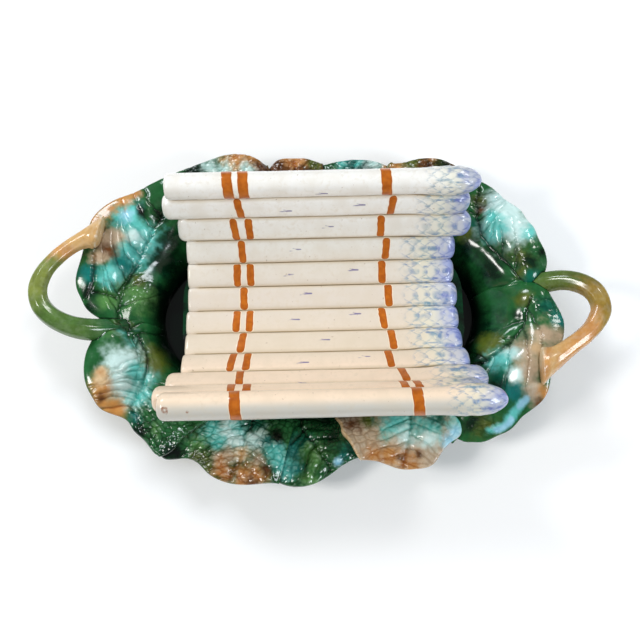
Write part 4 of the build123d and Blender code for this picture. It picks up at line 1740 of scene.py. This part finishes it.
def stalk_profile(number, cut_end, bud_tip):
    """Place along and share of the full radius, from the middle of the cut end to the bud's tip."""
    nose, bluntness = RIM_NOSES.get(number, INNER_NOSE)
    butt_round = RIM_BUTTS.get(number, BUTT_ROUND)
    face = np.linspace(0, 1 - butt_round / STALK_RADIUS, BUTT_ROWS, endpoint=False)
    turn = np.linspace(0, pi / 2, BUTT_ROWS, endpoint=False)
    butt = 1 - butt_round / STALK_RADIUS * (1 - np.sin(turn))
    bud_start = bud_tip - BUD_LENGTH
    body = np.arange(cut_end + butt_round, bud_start, BODY_STEP)
    bud = np.arange(bud_start, bud_tip - nose, BUD_STEP)
    round_off = np.linspace(0, pi / 2, NOSE_ROWS)
    tip = bud_tip - nose * (1 - np.sin(round_off) ** (2 / bluntness))
    along = np.concatenate([
        cut_end + CUT_DISH * (1 - face) ** 2, cut_end + butt_round * (1 - np.cos(turn)), body, bud, tip,
    ])
    straight = np.ones(len(body) + len(bud))
    share = np.concatenate([face, butt, straight, np.maximum(np.cos(round_off), 0) ** (2 / bluntness)])
    places, thickness = zip(*THICKNESS)
    return along, share * np.interp(bud_tip - along, places, thickness)


trial_along, _ = stalk_profile(1, 0.0, 200.0)
print("rows on a stalk of 200 mm:", len(trial_along))

# %% [markdown]
# ## Laying the stalks
# A rod turned on a lathe, or with the Screw modifier, would be round. A wrapped grid can be low and
# square in the shoulders, and it is trimmed flat where two stalks meet, as soft clay is when it is
# pressed together. All painted marks are kept on its points.

# %% Stalk pieces
BUD_RISE = 0.9
BUD_RISE_SHARE = 0.4
JOINT_GAP = 0.06
CLEAN_BUTT = 4.0
BODY_WOBBLE = 0.2
BODY_WOBBLE_SIZE = 15.0
BODY_SEED = 300
TIE_RAISE = 0.2
TIE_SLOPE = (-0.5, 0.3)
# Long streaks of tint on the buds: length, width, where they start and are full, and their fade
STREAK_LONG = 7.0
STREAK_WIDE = 1.6
STREAK_RISE = (0.15, 0.7)
STREAK_FADE = 0.5
STREAK_SEED = 500
# Scales grow from nothing over this share of the bud and end where the nose is this thin
SCALE_FADE = 0.2
NOSE_FADE = 0.5


def shape_stalk(number, name):
    """One stalk with its scales, its flat joints and its painted marks."""
    low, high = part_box(name)
    tilt, axis_y, axis_z = stalk_place(number)
    bud_tip = high.x / MM
    along_line, share_line = stalk_profile(number, low.x / MM, bud_tip)
    rows = len(along_line) - 1
    piece, across, share = new_grid(f"glazed_{name}", STALK_AROUND, rows)
    row = np.rint(share * rows).astype(int)
    x = along_line[row]
    thick = share_line[row]
    crown, half_width, square = RIM_SECTIONS.get(number, INNER_SECTION)

    # More columns go to the upper half, which is the painted one
    turn = across - np.rint(across)
    upper = 0.5 * UPPER_SHARE
    angle = np.where(np.abs(turn) < upper, turn * pi / UPPER_SHARE,
                     np.sign(turn) * (pi / 2 + (np.abs(turn) - upper) * pi / (1 - UPPER_SHARE)))
    to_tip = bud_tip - x
    bud = np.clip(1 - to_tip / BUD_LENGTH, 0, 1)
    crown = crown + BUD_RISE * ease(0.0, BUD_RISE_SHARE, bud)
    around = angle * STALK_RADIUS
    girth = 2 * pi * STALK_RADIUS
    on_top = np.cos(angle) > 0
    power = np.where(on_top, 2 / square, 1.0)
    sideways = np.sign(np.sin(angle)) * np.abs(np.sin(angle)) ** power * half_width
    above = np.where(on_top, np.abs(np.cos(angle)) ** power * crown, np.cos(angle) * STALK_RADIUS)

    rim_stalk = number in RIM_STALKS
    lateral = around if rim_stalk else sideways
    tie = tie_distance(number, x, lateral)
    tie = np.where(on_top | rim_stalk, tie, FAR_OFF)
    bract = bract_distance(number, x, lateral)
    chip = chip_distance(number, x, lateral)
    scale_height, scale_paint = bud_scales(to_tip, around, girth, seed=number)
    streaks = patches(x / STREAK_LONG, around / STREAK_WIDE, 1.0, number + STREAK_SEED)
    scale_paint = np.maximum(scale_paint, ease(*STREAK_RISE, streaks) * ease(0.0, STREAK_FADE, bud))
    scale_fade = ease(0.0, SCALE_FADE, bud) * ease(0.0, NOSE_FADE, thick)
    raised = BODY_WOBBLE * patches(x, np.abs(around), BODY_WOBBLE_SIZE, number + BODY_SEED)
    raised += SCALE_HEIGHT * scale_height * scale_fade + TIE_RAISE * (1 - ease(*TIE_SLOPE, tie))
    grown = thick * (1 + raised / STALK_RADIUS)
    aside = sideways * grown
    above = above * grown

    limit = (TROUGH_RADIUS - above) * np.tan(STALK_STEP / 2) - JOINT_GAP
    joint = np.full(x.shape, FAR_OFF)
    for sign, has_neighbour in ((1, number < STALK_COUNT), (-1, number > 1)):
        if has_neighbour:
            joint = np.minimum(joint, limit - sign * aside)
            aside = np.where(sign * aside > limit, sign * limit, aside)
    joint += CLEAN_BUTT * (1 - ease(0.0, 2 * CLEAN_BUTT, x - along_line[0]))
    points = np.column_stack([
        x,
        axis_y - aside * cos(tilt) + above * sin(tilt),
        axis_z + aside * sin(tilt) + above * cos(tilt),
    ])
    place_points(piece, points * MM)
    marks = {
        "tie": tie,
        "bract": bract,
        "chip": chip,
        "bud": bud,
        "scale_paint": scale_paint * scale_fade,
        "joint": np.maximum(joint, 0),
    }
    for mark, values in marks.items():
        store(piece, mark, values)
    close_seams(piece)
    hand_over(piece, name, "cradle", stalk_glaze)
    return piece


for number, name in enumerate(STALK_NAMES, start=1):
    piece = shape_stalk(number, name)
    print(piece.name, len(piece.data.polygons), "faces")

# %% [markdown]
# ## Slab, stand and foot
# The slab and the stand keep their CAD shapes. Both were dipped in the darkest green, which looks
# nearly black in the deep parts of the dish. The slab's green is painted nearly black as painted shade
# of the deep well. The foot ring was wiped clean before firing, so it shows the buff clay with a few
# crumbs of kiln sand.

# %% Dark green glaze and bare clay
WELL_GREEN_AND_PAINTED_SHADE = colour(4, 14, 8)
STAND_GREEN = colour(6, 62, 34)
NEAR_BLACK = colour(3, 6, 4)
CLAY_BUFF = colour(206, 178, 140)
CLAY_GREY = colour(160, 132, 104)
DARK_CLOUD = (70.0, 4.0, 1.0, 0.35, 0.65)
DARK_SPECKS = (420.0, 2.0, 2.0, 0.5, 0.8)
DARK_SPECK_SHARE = 0.4
DARK_RIPPLE = (160.0, 2.0, 3.0)
DARK_RIPPLE_STRENGTH = 0.2
DARK_RIPPLE_DEPTH = 0.0008
CLAY_CLOUD = (140.0, 4.0, 1.0)
CLAY_CLOUD_FADE = (0.3, 0.7)
CLAY_GRIT = (1600.0, 2.0, 2.0, 0.62, 0.72)
CLAY_GRIT_SHARE = 0.5
CLAY_RELIEF_STRENGTH = 0.4
CLAY_RELIEF_DEPTH = 0.0004


def dark_finish(name, pale):
    """Nearly black glaze with clouds of a paler one."""
    material, surface, place = new_finish(name, roughness=0.3, gloss=1.0)
    clouded = place.cloud(*DARK_CLOUD).mix(NEAR_BLACK, pale)
    specked = (DARK_SPECK_SHARE * place.cloud(*DARK_SPECKS)).mix(clouded, NEAR_BLACK)
    dress(surface, specked, place.noise(*DARK_RIPPLE), DARK_RIPPLE_STRENGTH, DARK_RIPPLE_DEPTH)
    return material


def clay_finish(name):
    """Bare fired clay with grit in it."""
    material, surface, place = new_finish(name, roughness=0.85, gloss=0.0)
    cloud = place.noise(*CLAY_CLOUD)
    grit = place.cloud(*CLAY_GRIT)
    clouded = cloud.ease(*CLAY_CLOUD_FADE).mix(CLAY_BUFF, CLAY_GREY)
    gritty = (CLAY_GRIT_SHARE * grit).mix(clouded, SPECK_BROWN)
    dress(surface, gritty, grit + cloud, CLAY_RELIEF_STRENGTH, CLAY_RELIEF_DEPTH)
    return material


CAD_FINISHES = {
    # The well floor's near black is dark green glaze with painted shade of the deep well.
    "well_floor": (dark_finish("well_glaze", WELL_GREEN_AND_PAINTED_SHADE), "well_glaze"),
    "cradle_stand": (dark_finish("stand_glaze", STAND_GREEN), "stand_glaze"),
    "foot_ring": (clay_finish("bare_clay"), "bare_clay"),
}
for name, (finish, slot) in CAD_FINISHES.items():
    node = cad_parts[name]
    node.data.materials.clear()
    node.data.materials.append(finish)
    print(name, "in", finish.name)
